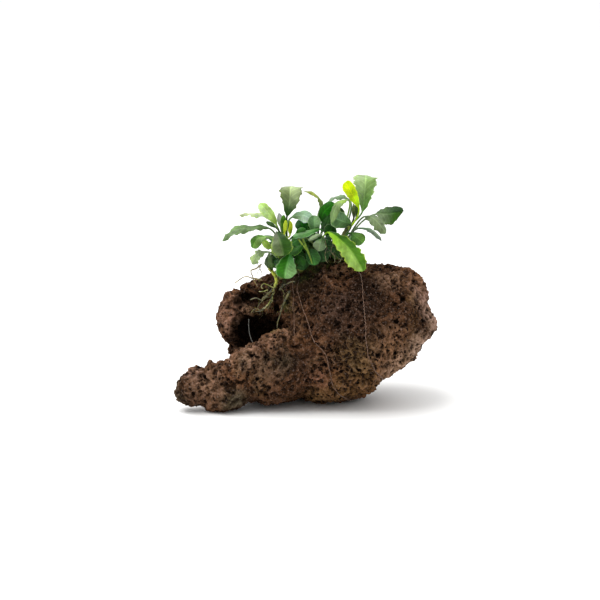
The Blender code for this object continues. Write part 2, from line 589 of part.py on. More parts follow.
def build():
    """Makes every piece of the object."""
    clear_scene()
    lava = material("lava stone", (0.10, 0.05, 0.035), 0.95)
    leaf_green = material("leaf", (0.09, 0.22, 0.03), 0.45)
    stem_green = material("stem", (0.16, 0.17, 0.05), 0.6)
    root_pale = material("root", (0.36, 0.38, 0.14), 0.6)
    cotton = material("cotton thread", (0.30, 0.17, 0.12), 0.9)
    stone = lava_stone(lava)
    rhizome = rhizome_with_stems(stone, stem_green)
    for name, spec in LEAVES.items():
        object_of(name, mesh_of_rings(name, leaf_rings(*spec), False), leaf_green)
    for name, (points, radius) in ROOTS.items():
        stations = np.linspace(0, 1, 3 * len(points) - 2)
        radii = radius * np.interp(stations, [0, 0.8, 1], [1, 0.8, 0.45])
        tube(name, smooth_curve(points, stations), radii, 4, root_pale)
    binding_threads(stone, rhizome, cotton)
    for piece in bpy.data.objects:
        piece.data.transform(Matrix.Translation(Vector(TO_ORIGIN) * MM))


build()
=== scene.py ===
"""The looks of a bucephalandra on a lava stone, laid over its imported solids.

Lengths are metres unless a name or a comment says millimetres. The axes are the frame's: +X to the right,
+Y away from the camera, +Z up, with the stone standing on Z = 0.
"""

import json
from functools import partial

import bmesh
import bpy
import numpy as np
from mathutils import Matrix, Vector
from mathutils.bvhtree import BVHTree


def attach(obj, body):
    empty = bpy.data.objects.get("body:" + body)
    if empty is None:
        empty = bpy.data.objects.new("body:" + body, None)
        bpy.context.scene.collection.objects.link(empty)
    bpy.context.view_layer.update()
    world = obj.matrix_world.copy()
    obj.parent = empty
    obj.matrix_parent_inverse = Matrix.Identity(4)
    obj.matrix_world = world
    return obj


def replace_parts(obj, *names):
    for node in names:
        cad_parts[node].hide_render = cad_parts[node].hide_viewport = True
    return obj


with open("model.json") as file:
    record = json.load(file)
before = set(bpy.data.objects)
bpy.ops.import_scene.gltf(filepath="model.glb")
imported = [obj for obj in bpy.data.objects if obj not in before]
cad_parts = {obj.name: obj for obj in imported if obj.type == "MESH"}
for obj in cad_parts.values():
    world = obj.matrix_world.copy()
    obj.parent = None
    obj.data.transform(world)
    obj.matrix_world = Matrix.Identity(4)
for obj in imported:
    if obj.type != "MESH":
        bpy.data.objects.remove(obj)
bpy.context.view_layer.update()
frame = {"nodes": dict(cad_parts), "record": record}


# The view: a camera a little above the stone, on its front side, that sees it as the photograph does.
MM = 1e-3
TARGET = Vector((-4.1, -2.7, 59.2)) * MM
DISTANCE = 0.95
ELEVATION = np.radians(12.0)
SENSOR = 36.0
WIDTH_SEEN = 0.3438


def new_object(name, data):
    """A new object in the scene, at the origin and unturned."""
    made = bpy.data.objects.new(name, data)
    bpy.context.scene.collection.objects.link(made)
    return made


def aim(thing, place, way):
    """Puts a camera or a lamp at a place and turns it to look this way."""
    thing.location = place
    thing.rotation_mode = "QUATERNION"
    thing.rotation_quaternion = way.to_track_quat("-Z", "Y")


camera = new_object("camera", bpy.data.cameras.new("camera"))
camera.data.sensor_width = SENSOR
camera.data.lens = SENSOR * DISTANCE / WIDTH_SEEN
camera.data.clip_start = 0.01
towards_camera = Vector((0, -np.cos(ELEVATION), np.sin(ELEVATION)))
aim(camera, TARGET + DISTANCE * towards_camera, -towards_camera)
bpy.context.scene.camera = camera
bpy.context.scene.view_settings.view_transform = "Standard"


# The studio: an endless white table under one wide soft lamp. The white room round it is brightest overhead,
# less so to the sides and behind, and dimmest on the camera's side.
LAMP_PLACE = Vector((-0.35, 0.0, 0.9))
LAMP_AIM = Vector((0, 0, 0.04))
LAMP_SIDE = 0.8
LAMP_POWER = 9.0
ROOM_LIGHT = {"everywhere": 0.45, "sides": 0.3, "overhead": 0.9, "behind": 0.35}
TABLE_RADIUS = 30.0


def colour(code):
    """The linear red, green, blue and alpha of an sRGB hex colour."""
    srgb = np.array([int(code[k : k + 2], 16) for k in (1, 3, 5)]) / 255
    linear = np.where(srgb <= 0.04045, srgb / 12.92, ((srgb + 0.055) / 1.055) ** 2.4)
    return (*linear, 1.0)


def wire(tree, made, inputs):
    """Gives each input socket of a node its value, or the output that it takes. A node given as a value
    stands for its first output in use."""
    for socket, value in inputs.items():
        if isinstance(value, bpy.types.Node):
            value = next(output for output in value.outputs if output.enabled)
        if isinstance(value, bpy.types.NodeSocket):
            tree.links.new(value, made.inputs[socket])
        else:
            made.inputs[socket].default_value = value


def node(tree, kind, inputs=(), operation=None, stops=(), **settings):
    """Adds a shader node. Inputs pairs sockets with what they take, or lists that from the first socket
    on: a MapRange takes its value, the two ends of its range, and what those become. Stops are the places
    and colours of a colour ramp, in order."""
    made = tree.nodes.new("ShaderNode" + kind)
    if operation:
        made.operation = operation
    for name, value in settings.items():
        setattr(made, name, value)
    wire(tree, made, inputs if isinstance(inputs, dict) else dict(enumerate(inputs)))
    for k, (place, code) in enumerate(stops):
        element = made.color_ramp.elements[k] if k < 2 else made.color_ramp.elements.new(place)
        element.position = place
        element.color = colour(code)
    return made


def new_material(name):
    """A new material, with one function that adds a node to it and one that wires its Principled shader."""
    made = bpy.data.materials.new(name)
    made.use_nodes = True
    tree = made.node_tree
    return made, partial(node, tree), partial(wire, tree, tree.nodes["Principled BSDF"])


lamp = new_object("lamp above", bpy.data.lights.new("lamp above", "AREA"))
lamp.data.size = LAMP_SIDE
lamp.data.energy = LAMP_POWER
aim(lamp, LAMP_PLACE, LAMP_AIM - LAMP_PLACE)
room = bpy.data.worlds.new("white room")
room.use_nodes = True
add = partial(node, room.node_tree)
way = add("SeparateXYZ", [add("TexCoord").outputs["Generated"]]).outputs
aside = add("Math", [way["X"], way["X"]], "MULTIPLY")
light = add("Math", [aside, ROOM_LIGHT["sides"], ROOM_LIGHT["everywhere"]], "MULTIPLY_ADD")
light = add("Math", [way["Z"], ROOM_LIGHT["overhead"], light], "MULTIPLY_ADD")
light = add("Math", [way["Y"], ROOM_LIGHT["behind"], light], "MULTIPLY_ADD")
wire(room.node_tree, room.node_tree.nodes["Background"], {"Color": (1, 1, 1, 1), "Strength": light})
bpy.context.scene.world = room

turn = np.linspace(0, 2 * np.pi, 96, endpoint=False)
table_edge = TABLE_RADIUS * np.stack([np.cos(turn), np.sin(turn), 0 * turn], axis=1)
table_mesh = bpy.data.meshes.new("table")
table_mesh.from_pydata(table_edge.tolist(), [], [list(range(len(turn)))])
laminate, add, fill = new_material("white laminate")
fill({"Base Color": colour("#f4f4f3"), "Roughness": 0.6})
table_mesh.materials.append(laminate)
table = new_object("table", table_mesh)


# The stone: one piece of scoria, a red-brown volcanic rock that froze as foam. Gas bubbles that the break
# laid open pit it all over, from pinholes to craters as wide as a fingertip, between rough ridges. A fine
# skin is laid over the frame's solid, which gives the form, and crags and bubbles are pressed into that.

# All places in tables are measured from here, in millimetres
FOOT_OF_STONE = np.array([-1.2, -2.7, 0.0])
# The distance between the skin's points, how often it is softened, and how many triangles are kept of it
SKIN_STEP = 0.52e-3
SKIN_ROUNDS = 10
SKIN_TRIANGLES = 196000
# Width and height of each size of crag and ridge
CRAGS = [(9.0e-3, 0.7e-3), (4.2e-3, 0.3e-3)]
RIDGES = [(5.2e-3, 0.85e-3), (2.9e-3, 0.65e-3), (1.7e-3, 0.35e-3)]
RIDGE_SHARPNESS = 3.2
CRATERS = {"spacing": 11.0e-3, "small": 1.2e-3, "large": 2.7e-3, "share": 0.3, "deepest": 0.7, "salt": 11}
BUBBLES = {"spacing": 3.8e-3, "small": 0.7e-3, "large": 1.6e-3, "share": 0.8, "deepest": 1.1, "salt": 23}
# How far bubbles are bent out of round, and over what width, and how wide a patch of dense foam is
BEND = 1.3e-3
BEND_WIDTH = 2.4e-3
DENSE_FOAM_WIDTH = 13e-3
# The skin is raised by this much before the bubbles are pressed in, so that it keeps the solid's size
SKIN_LIFT = 0.3e-3
# How deep a pit is where its painted shade is darkest, and how high the ridges stand from their feet, which
# get painted shade, to their crests, which get a painted highlight
DARK_PIT = 1.3e-3
RIDGE_HEIGHT = 1.6e-3
# Where the hollow is, the place of its painted shade: centres and half-axes of its parts, in millimetres
HOLLOW = [((-28, -2, 38), (13.5, 20, 11.5)), ((-20, -2, 40), (8.5, 16, 9)), ((-31.5, 1, 58), (8.5, 15, 2.8)),
          ((-15.5, -1, 59), (2.4, 11, 8))]
HOLLOW_FRONT = -10.3
LEDGE_HEIGHT = 52.6
LEDGE_BACK = 4.7
# Each stain's middle and radius in millimetres, its colour, and how strong it is in the middle. The ochre,
# green-grey and red-brown ones are real stains; the pale ones on the left arm and its rim and on the right
# end and top are painted highlights, and the near-black ones, most of them under the plant, are painted
# shade
STAINS_AND_PAINTED_LIGHT = [
    (28, -32, 33, 12, "#5f4c2e", 0.5), (37, -30, 18, 9, "#60482c", 0.3), (-16, -24, 30, 10, "#433f30", 0.7),
    (-40, -31, 8, 8, "#4a4432", 0.7), (64, -10, 34, 14, "#9c8068", 0.8), (54, -18, 22, 13, "#94765c", 0.75),
    (32, -28, 73, 15, "#1d120b", 0.9), (18, -32, 60, 15, "#2f2118", 0.75), (68, -6, 60, 12, "#8a6c58", 0.65),
    (-43, 0, 50, 12, "#7c5a44", 0.6), (-8, -24, 50, 8, "#5c4428", 0.4), (-55, -28, 16, 12, "#7c5e46", 0.6),
    (-30, -24, 30, 8, "#8a6a50", 0.6), (50, -12, 78, 12, "#7c6048", 0.5), (4, -36, 30, 12, "#33241a", 0.6),
    (0, -14, 76, 12, "#2a2012", 0.8), (-14, 0, 66, 9, "#2c1f14", 0.7), (-10, -20, 52, 10, "#5c4432", 0.4),
    (44, -26, 40, 14, "#70543a", 0.6), (-20, -26, 22, 9, "#5f4632", 0.5), (70, -4, 50, 9, "#947862", 0.6),
    (-14, -15, 58, 7, "#4a4620", 0.85), (-16, -14, 48, 6, "#4a4620", 0.85), (8, -36, 20, 10, "#704a36", 0.6),
    (-43, -26, 32, 6, "#85644c", 0.6), (-31, -27, 38, 6, "#85644c", 0.5), (-20, -27, 44, 6, "#85644c", 0.5),
    (-11, -26, 49, 6, "#7c5c46", 0.5), (-64, -20, 21, 7, "#8f6e5a", 0.5), (34, -32, 58, 13, "#281a10", 0.6),
]


def cell_number(cells, salt):
    """An even random number from 0 to 1 for each cell of a grid: its three whole numbers times three primes,
    joined bit by bit and stirred twice."""
    x, y, z = np.moveaxis(cells.astype(np.uint32), -1, 0)
    stirred = x * np.uint32(73856093) ^ y * np.uint32(19349663) ^ z * np.uint32(83492791)
    stirred = stirred + np.uint32(salt * 747796405 % 2**32)
    for _ in range(2):
        stirred = (stirred ^ (stirred >> np.uint32(16))) * np.uint32(73244475)
    return (stirred ^ (stirred >> np.uint32(16))) / 2.0**32


def cell_vector(cells, salt):
    """Three such numbers for each cell, one for each axis."""
    return np.stack([cell_number(cells, salt + axis) for axis in range(3)], axis=1)


def rough_noise(points, size, salt):
    """Smooth noise of about -1 to 1. Each corner of a grid of cubes has a slope in a random direction, and a
    point takes the slopes of its cube's eight corners, weighted by 6t^5 - 15t^4 + 10t^3 along each side."""
    place = points / size
    low = np.floor(place).astype(np.int64)
    share = place - low
    blend = share**3 * (share * (6 * share - 15) + 10)
    total = np.zeros(len(points))
    for corner in np.ndindex(2, 2, 2):
        slope = cell_vector(low + corner, salt) * 2 - 1
        weight = np.prod(np.where(corner, blend, 1 - blend), axis=1)
        total += weight * np.sum(slope * (share - corner), axis=1)
    return total * 1.6


def wandering(points, size, salt):
    """A smooth random shift for each point: one noise for each axis."""
    return np.stack([rough_noise(points, size, salt + 3 * axis) for axis in range(3)], axis=1)


def bubble_depth(points, normals, spacing, small, large, share, deepest, salt):
    """How far below each point the far wall of a gas bubble lies. Each grid cell may hold one sphere. For a
    point a from its centre, with out = a . normal, the wall is out + sqrt(r^2 - a^2 + out^2) deep."""
    home = np.floor(points / spacing).astype(np.int64)
    depth = np.zeros(len(points))
    for neighbour in np.ndindex(3, 3, 3):
        cell = home + neighbour - 1
        radius = small + (large - small) * cell_number(cell, salt + 3) ** 1.5
        away = points - (cell + cell_vector(cell, salt)) * spacing
        out = np.sum(away * normals, axis=1)
        room = radius**2 - np.sum(away**2, axis=1)
        hit = (room > 0) & (cell_number(cell, salt + 4) < share)
        wall = out + np.sqrt(np.maximum(room + out**2, 0))
        depth = np.maximum(depth, np.where(hit, np.minimum(wall, deepest * radius), 0))
    return depth


def points_and_normals(mesh):
    """The places and the normals of a mesh's points, as two arrays."""
    points, normals = np.empty((2, len(mesh.vertices) * 3))
    mesh.vertices.foreach_get("co", points)
    mesh.vertices.foreach_get("normal", normals)
    return points.reshape(-1, 3), normals.reshape(-1, 3)


def modified(piece, kind, **settings):
    """The piece with one modifier made part of its mesh."""
    change = piece.modifiers.new(kind.lower(), kind)
    for name, value in settings.items():
        setattr(change, name, value)
    graph = bpy.context.evaluated_depsgraph_get()
    mesh = bpy.data.meshes.new_from_object(piece.evaluated_get(graph))
    piece.modifiers.clear()
    piece.data = mesh
    return piece


def skin_of(solid, name, step, rounds):
    """A fine even skin over a copy of a solid of the frame, softened over some rounds to lose its facets."""
    merged = bmesh.new()
    merged.from_mesh(frame["nodes"][solid].data)
    bmesh.ops.remove_doubles(merged, verts=merged.verts[:], dist=1e-6)
    mesh = bpy.data.meshes.new(name)
    merged.to_mesh(mesh)
    merged.free()
    piece = modified(new_object(name, mesh), "REMESH", mode="VOXEL", voxel_size=step)
    return modified(piece, "SMOOTH", factor=0.6, iterations=rounds)


def drop_crumbs(piece):
    """Takes off scraps that don't hang together with the piece's main part. Each point takes the lowest
    number among its neighbours', over and over, until every part has a number of its own."""
    mesh = piece.data
    ends = np.empty(len(mesh.edges) * 2, np.int32)
    mesh.edges.foreach_get("vertices", ends)
    start, end = ends.reshape(-1, 2).T
    part = np.arange(len(mesh.vertices))
    settled = False
    while not settled:
        lowest = part.copy()
        np.minimum.at(lowest, start, part[end])
        np.minimum.at(lowest, end, part[start])
        lowest = lowest[lowest]
        settled = np.array_equal(lowest, part)
        part = lowest
    whole = bmesh.new()
    whole.from_mesh(mesh)
    whole.verts.ensure_lookup_table()
    crumbs = [whole.verts[k] for k in np.flatnonzero(part != np.bincount(part).argmax())]
    bmesh.ops.delete(whole, geom=crumbs, context="VERTS")
    whole.to_mesh(mesh)
    whole.free()


def store(mesh, **layers):
    """Stores a number or a colour for each point of the mesh, under the name that its material reads."""
    for name, values in layers.items():
        kind, field = ("FLOAT", "value") if values.size == len(mesh.vertices) else ("FLOAT_COLOR", "color")
        mesh.attributes.new(name, kind, "POINT").data.foreach_set(field, values.ravel())


stone = skin_of("stone", "lava_stone", SKIN_STEP, SKIN_ROUNDS)
points, normals = points_and_normals(stone.data)
crag = sum(height * rough_noise(points, width, 51 + 3 * k) for k, (width, height) in enumerate(CRAGS))
# A ridge is highest where its noise is 0, and falls off on both sides
crest = np.zeros(len(points))
for k, (width, height) in enumerate(RIDGES):
    off_line = RIDGE_SHARPNESS * np.abs(rough_noise(points, width, 71 + 3 * k))
    crest += height * (np.clip(1 - off_line, -0.2, 1) - 0.3)
crag += crest
bent = points + BEND * wandering(points, BEND_WIDTH, 81)
# Where the foam is dense, its bubbles are shallow
foam = np.clip(0.8 + 0.9 * rough_noise(points, DENSE_FOAM_WIDTH, 95), 0.25, 1.15)
pit = bubble_depth(bent, normals, **BUBBLES) * foam
pit = np.maximum(pit, bubble_depth(bent, normals, **CRATERS))
points += (crag + SKIN_LIFT - pit)[:, None] * normals
points[:, 2] = np.maximum(points[:, 2], 0)
stone.data.vertices.foreach_set("co", points.ravel())
places = points / MM - FOOT_OF_STONE
# The hollow gets painted shade inside its walls, less of it at its mouth and on the ledge that the roots lie
# on
hollow = np.zeros(len(points))
for centre, half_axes in HOLLOW:
    away = np.linalg.norm((places - centre) / (np.array(half_axes) + 1.5), axis=1)
    hollow = np.maximum(hollow, np.clip((1.25 - away) / 0.3, 0, 1))
hollow *= np.clip((places[:, 1] - HOLLOW_FRONT) / 9, 0, 1)
ledge = np.clip(1.9 - np.abs(places[:, 2] - LEDGE_HEIGHT) / 2.0, 0, 1)
hollow *= 1 - 0.8 * ledge * (places[:, 1] < LEDGE_BACK)
# Each stain and each patch of painted highlight and painted shade is strongest near its middle and has faded
# out a little past its radius, at a ragged edge
stain = np.zeros((len(points), 4))
blur = 0.25 * rough_noise(points, 9e-3, 91) + 0.15 * rough_noise(points, 4e-3, 94)
for *centre, radius, code, strength in STAINS_AND_PAINTED_LIGHT:
    away = np.linalg.norm(places - centre, axis=1) / radius + blur
    amount = (strength * np.clip(1.3 - away, 0, 1))[:, None]
    stain = stain * (1 - amount) + np.array(colour(code)) * amount
# Stored for the material: the stains with their patches of painted highlight and painted shade, the hollow's
# painted shade, and the depth of pits and the height of ridges, which set painted shade and highlight
store(stone.data, stain=stain, hollow=hollow, pit=np.clip(pit / DARK_PIT, 0, 1),
      ridge=np.clip(0.5 + crest / RIDGE_HEIGHT, 0, 1))
count = sum(len(face.vertices) - 2 for face in stone.data.polygons)
modified(stone, "DECIMATE", ratio=SKIN_TRIANGLES / count)
drop_crumbs(stone)

# Scoria is dull and rusty: iron in the glass burned red where the foam was open to the air. Ridge crests
# carry a painted highlight and the feet of ridges painted shade, bubbles are painted nearly black inside as
# painted shade, the hollow is painted darker as painted shade, and damp spots carry a film of ochre and
# green-grey dirt. Pores 1 to 3 mm wide are too fine for the mesh: they are cells of a pattern, pressed in
# and painted dark as painted shade.
scoria, add, fill = new_material("scoria")
place = add("TexCoord").outputs["Object"]
patch = add("TexNoise", {"Vector": place, "Scale": 38.0, "Detail": 4.0, "Roughness": 0.6})
grain = add("TexNoise", {"Vector": place, "Scale": 700.0, "Detail": 5.0, "Roughness": 0.75})
rust = add("ValToRGB", [patch], stops=[
    (0.33, "#2b1b0e"), (0.45, "#3d2716"), (0.56, "#4e331f"), (0.68, "#624228"),
])
dirt_place = add("TexNoise", {"Vector": place, "Scale": 27.0, "Detail": 3.0, "Roughness": 0.55})
dirt_amount = add("MapRange", [dirt_place, 0.52, 0.68, 0.0, 0.7])
dirt_kind = add("TexNoise", {"Vector": place, "Scale": 15.0, "Detail": 1.0})
dirt = add("ValToRGB", [dirt_kind], stops=[(0.45, "#454030"), (0.56, "#634a28")])
dirty = add("Mix", {0: dirt_amount, 6: rust, 7: dirt}, data_type="RGBA")
# Real stains and patches of painted highlight and painted shade, laid over the rust and dirt
stain = add("Attribute", attribute_name="stain").outputs
bare = add("Math", [1.0, stain["Alpha"]], "SUBTRACT")
unstained = add("VectorMath", {0: dirty, "Scale": bare}, "SCALE")
stained = add("VectorMath", [unstained, stain["Color"]], "ADD")
# Painted highlight and painted shade by ridge height: crests are painted paler, and the low ground at the
# ridges' feet darker
ridge = add("Attribute", attribute_name="ridge").outputs["Fac"]
crest_highlight = add("MapRange", [ridge, 0.5, 0.85, 0.0, 0.9])
paler = add("VectorMath", [stained, (1.8, 1.88, 2.25)], "MULTIPLY")
tone = add("Mix", {0: crest_highlight, 6: stained, 7: paler}, data_type="RGBA")
low = add("MapRange", [ridge, 0.15, 0.45, 0.85, 0.0])
tone = add("Mix", {0: low, 6: tone, 7: colour("#21130a")}, data_type="RGBA")
wander = add("TexNoise", {"Vector": place, "Scale": 500.0, "Detail": 2.0}).outputs["Color"]
bent = add("VectorMath", [wander, (1.1e-3, 1.1e-3, 1.1e-3), place], "MULTIPLY_ADD")
foam = add("TexNoise", {"Vector": place, "Scale": 70.0, "Detail": 2.0, "Roughness": 0.5})
foam = add("MapRange", [foam, 0.36, 0.6, 0.35, 1.1])
pores = []
for scale, widest in ((300.0, 0.42), (560.0, 0.4)):
    cells = add("TexVoronoi", {"Vector": bent, "Scale": scale})
    own = add("SeparateColor", [cells.outputs["Color"]])
    width = add("Math", [own, widest], "MULTIPLY")
    width = add("Math", [width, foam], "MULTIPLY")
    inside = add("Math", [width, cells], "SUBTRACT")
    pores.append(add("MapRange", [inside, 0.0, 0.12]))
pore = add("Math", pores, "MAXIMUM")
# Painted shade in pits and pores: they are painted nearly black inside, deeper pits darker
pit = add("Attribute", attribute_name="pit").outputs["Fac"]
pit_shade = add("Math", [pore, pit], "MAXIMUM")
tone = add("Mix", {0: pit_shade, 6: tone, 7: colour("#140a05")}, data_type="RGBA")
# Painted shade inside the hollow: the speckled tone and its glints are darker there
hollow = add("Attribute", attribute_name="hollow").outputs["Fac"]
shade = add("MapRange", [hollow, 0.0, 1.0, 1.0, 0.25])
speck = add("MapRange", [grain, 0.3, 0.7, 0.5, 1.55])
speck = add("Math", [speck, shade], "MULTIPLY")
speckled = add("VectorMath", {0: tone, "Scale": speck}, "SCALE")
glint = add("TexNoise", {"Vector": place, "Scale": 1100.0, "Detail": 2.0, "Roughness": 0.6})
lit = add("MapRange", [glint, 0.56, 0.7, 0.0, 0.3])
lit = add("Math", [lit, shade], "MULTIPLY")
covered = add("Math", [1.0, pit_shade], "SUBTRACT")
lit = add("Math", [lit, covered], "MULTIPLY")
speckled = add("Mix", {0: lit, 6: speckled, 7: colour("#a8948a")}, data_type="RGBA")
pressed = add("Math", [pore, -1.6, grain], "MULTIPLY_ADD")
bump = add("Bump", {"Height": pressed, "Strength": 1.0, "Distance": 0.6e-3})
fill({"Base Color": speckled, "Normal": bump, "Roughness": 0.9, "Specular IOR Level": 0.05})
stone.data.materials.clear()
stone.data.materials.append(scoria)
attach(stone, "root")
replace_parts(stone, "stone")


# The plant's body: a green-brown rhizome that creeps over the crown of the stone and bears three short
# upright stems. Old leaves have left it ringed with scars. It is live, smooth wood, tied down by thread.

# A stem's radius, and the foot and the top of each, in millimetres
STEM_RADIUS = 1.9
STEMS = {
    "left": ((-10, -10, 78), (-12, -9, 97)),
    "middle": ((5, 0, 82), (8, -1, 98)),
    "right": ((17, 2, 84), (25, 0, 103)),
}
BARK_STEP = 0.3e-3
BARK_ROUNDS = 6
SCAR_GAP = 2.6e-3
SCAR_HEIGHT = 0.16e-3
BARK_WAVE = 0.22e-3

rhizome = skin_of("rhizome", "rhizome_fine", BARK_STEP, BARK_ROUNDS)
points, normals = points_and_normals(rhizome.data)
rise = points @ np.array([0.35, 0.1, 1.0]) / SCAR_GAP
scar = np.abs((rise + 0.3 * rough_noise(points, 3e-3, 131)) % 1 - 0.5)
ring = np.clip(1 - scar / 0.16, 0, 1)
points += (SCAR_HEIGHT * ring + BARK_WAVE * rough_noise(points, 1.3e-3, 141))[:, None] * normals
rhizome.data.vertices.foreach_set("co", points.ravel())
store(rhizome.data, scar=ring)

bark, add, fill = new_material("live rhizome")
place = add("TexCoord").outputs["Object"]
mottle = add("TexNoise", {"Vector": place, "Scale": 260.0, "Detail": 4.0, "Roughness": 0.6})
skin = add("ValToRGB", [mottle], stops=[(0.35, "#3c4219"), (0.52, "#616b2a"), (0.66, "#8d9a45")])
scars = add("Attribute", attribute_name="scar").outputs["Fac"]
ringed = add("Mix", {0: scars, 6: skin, 7: colour("#38281a")}, data_type="RGBA")
bump = add("Bump", {"Height": mottle, "Strength": 0.4, "Distance": 0.2e-3})
fill({
    "Base Color": ringed, "Normal": bump, "Roughness": 0.5,
    "Subsurface Weight": 0.15, "Subsurface Radius": (0.8, 1.0, 0.3), "Subsurface Scale": 0.8e-3,
})
rhizome.data.materials.clear()
rhizome.data.materials.append(bark)
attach(rhizome, "root")
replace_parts(rhizome, "rhizome")
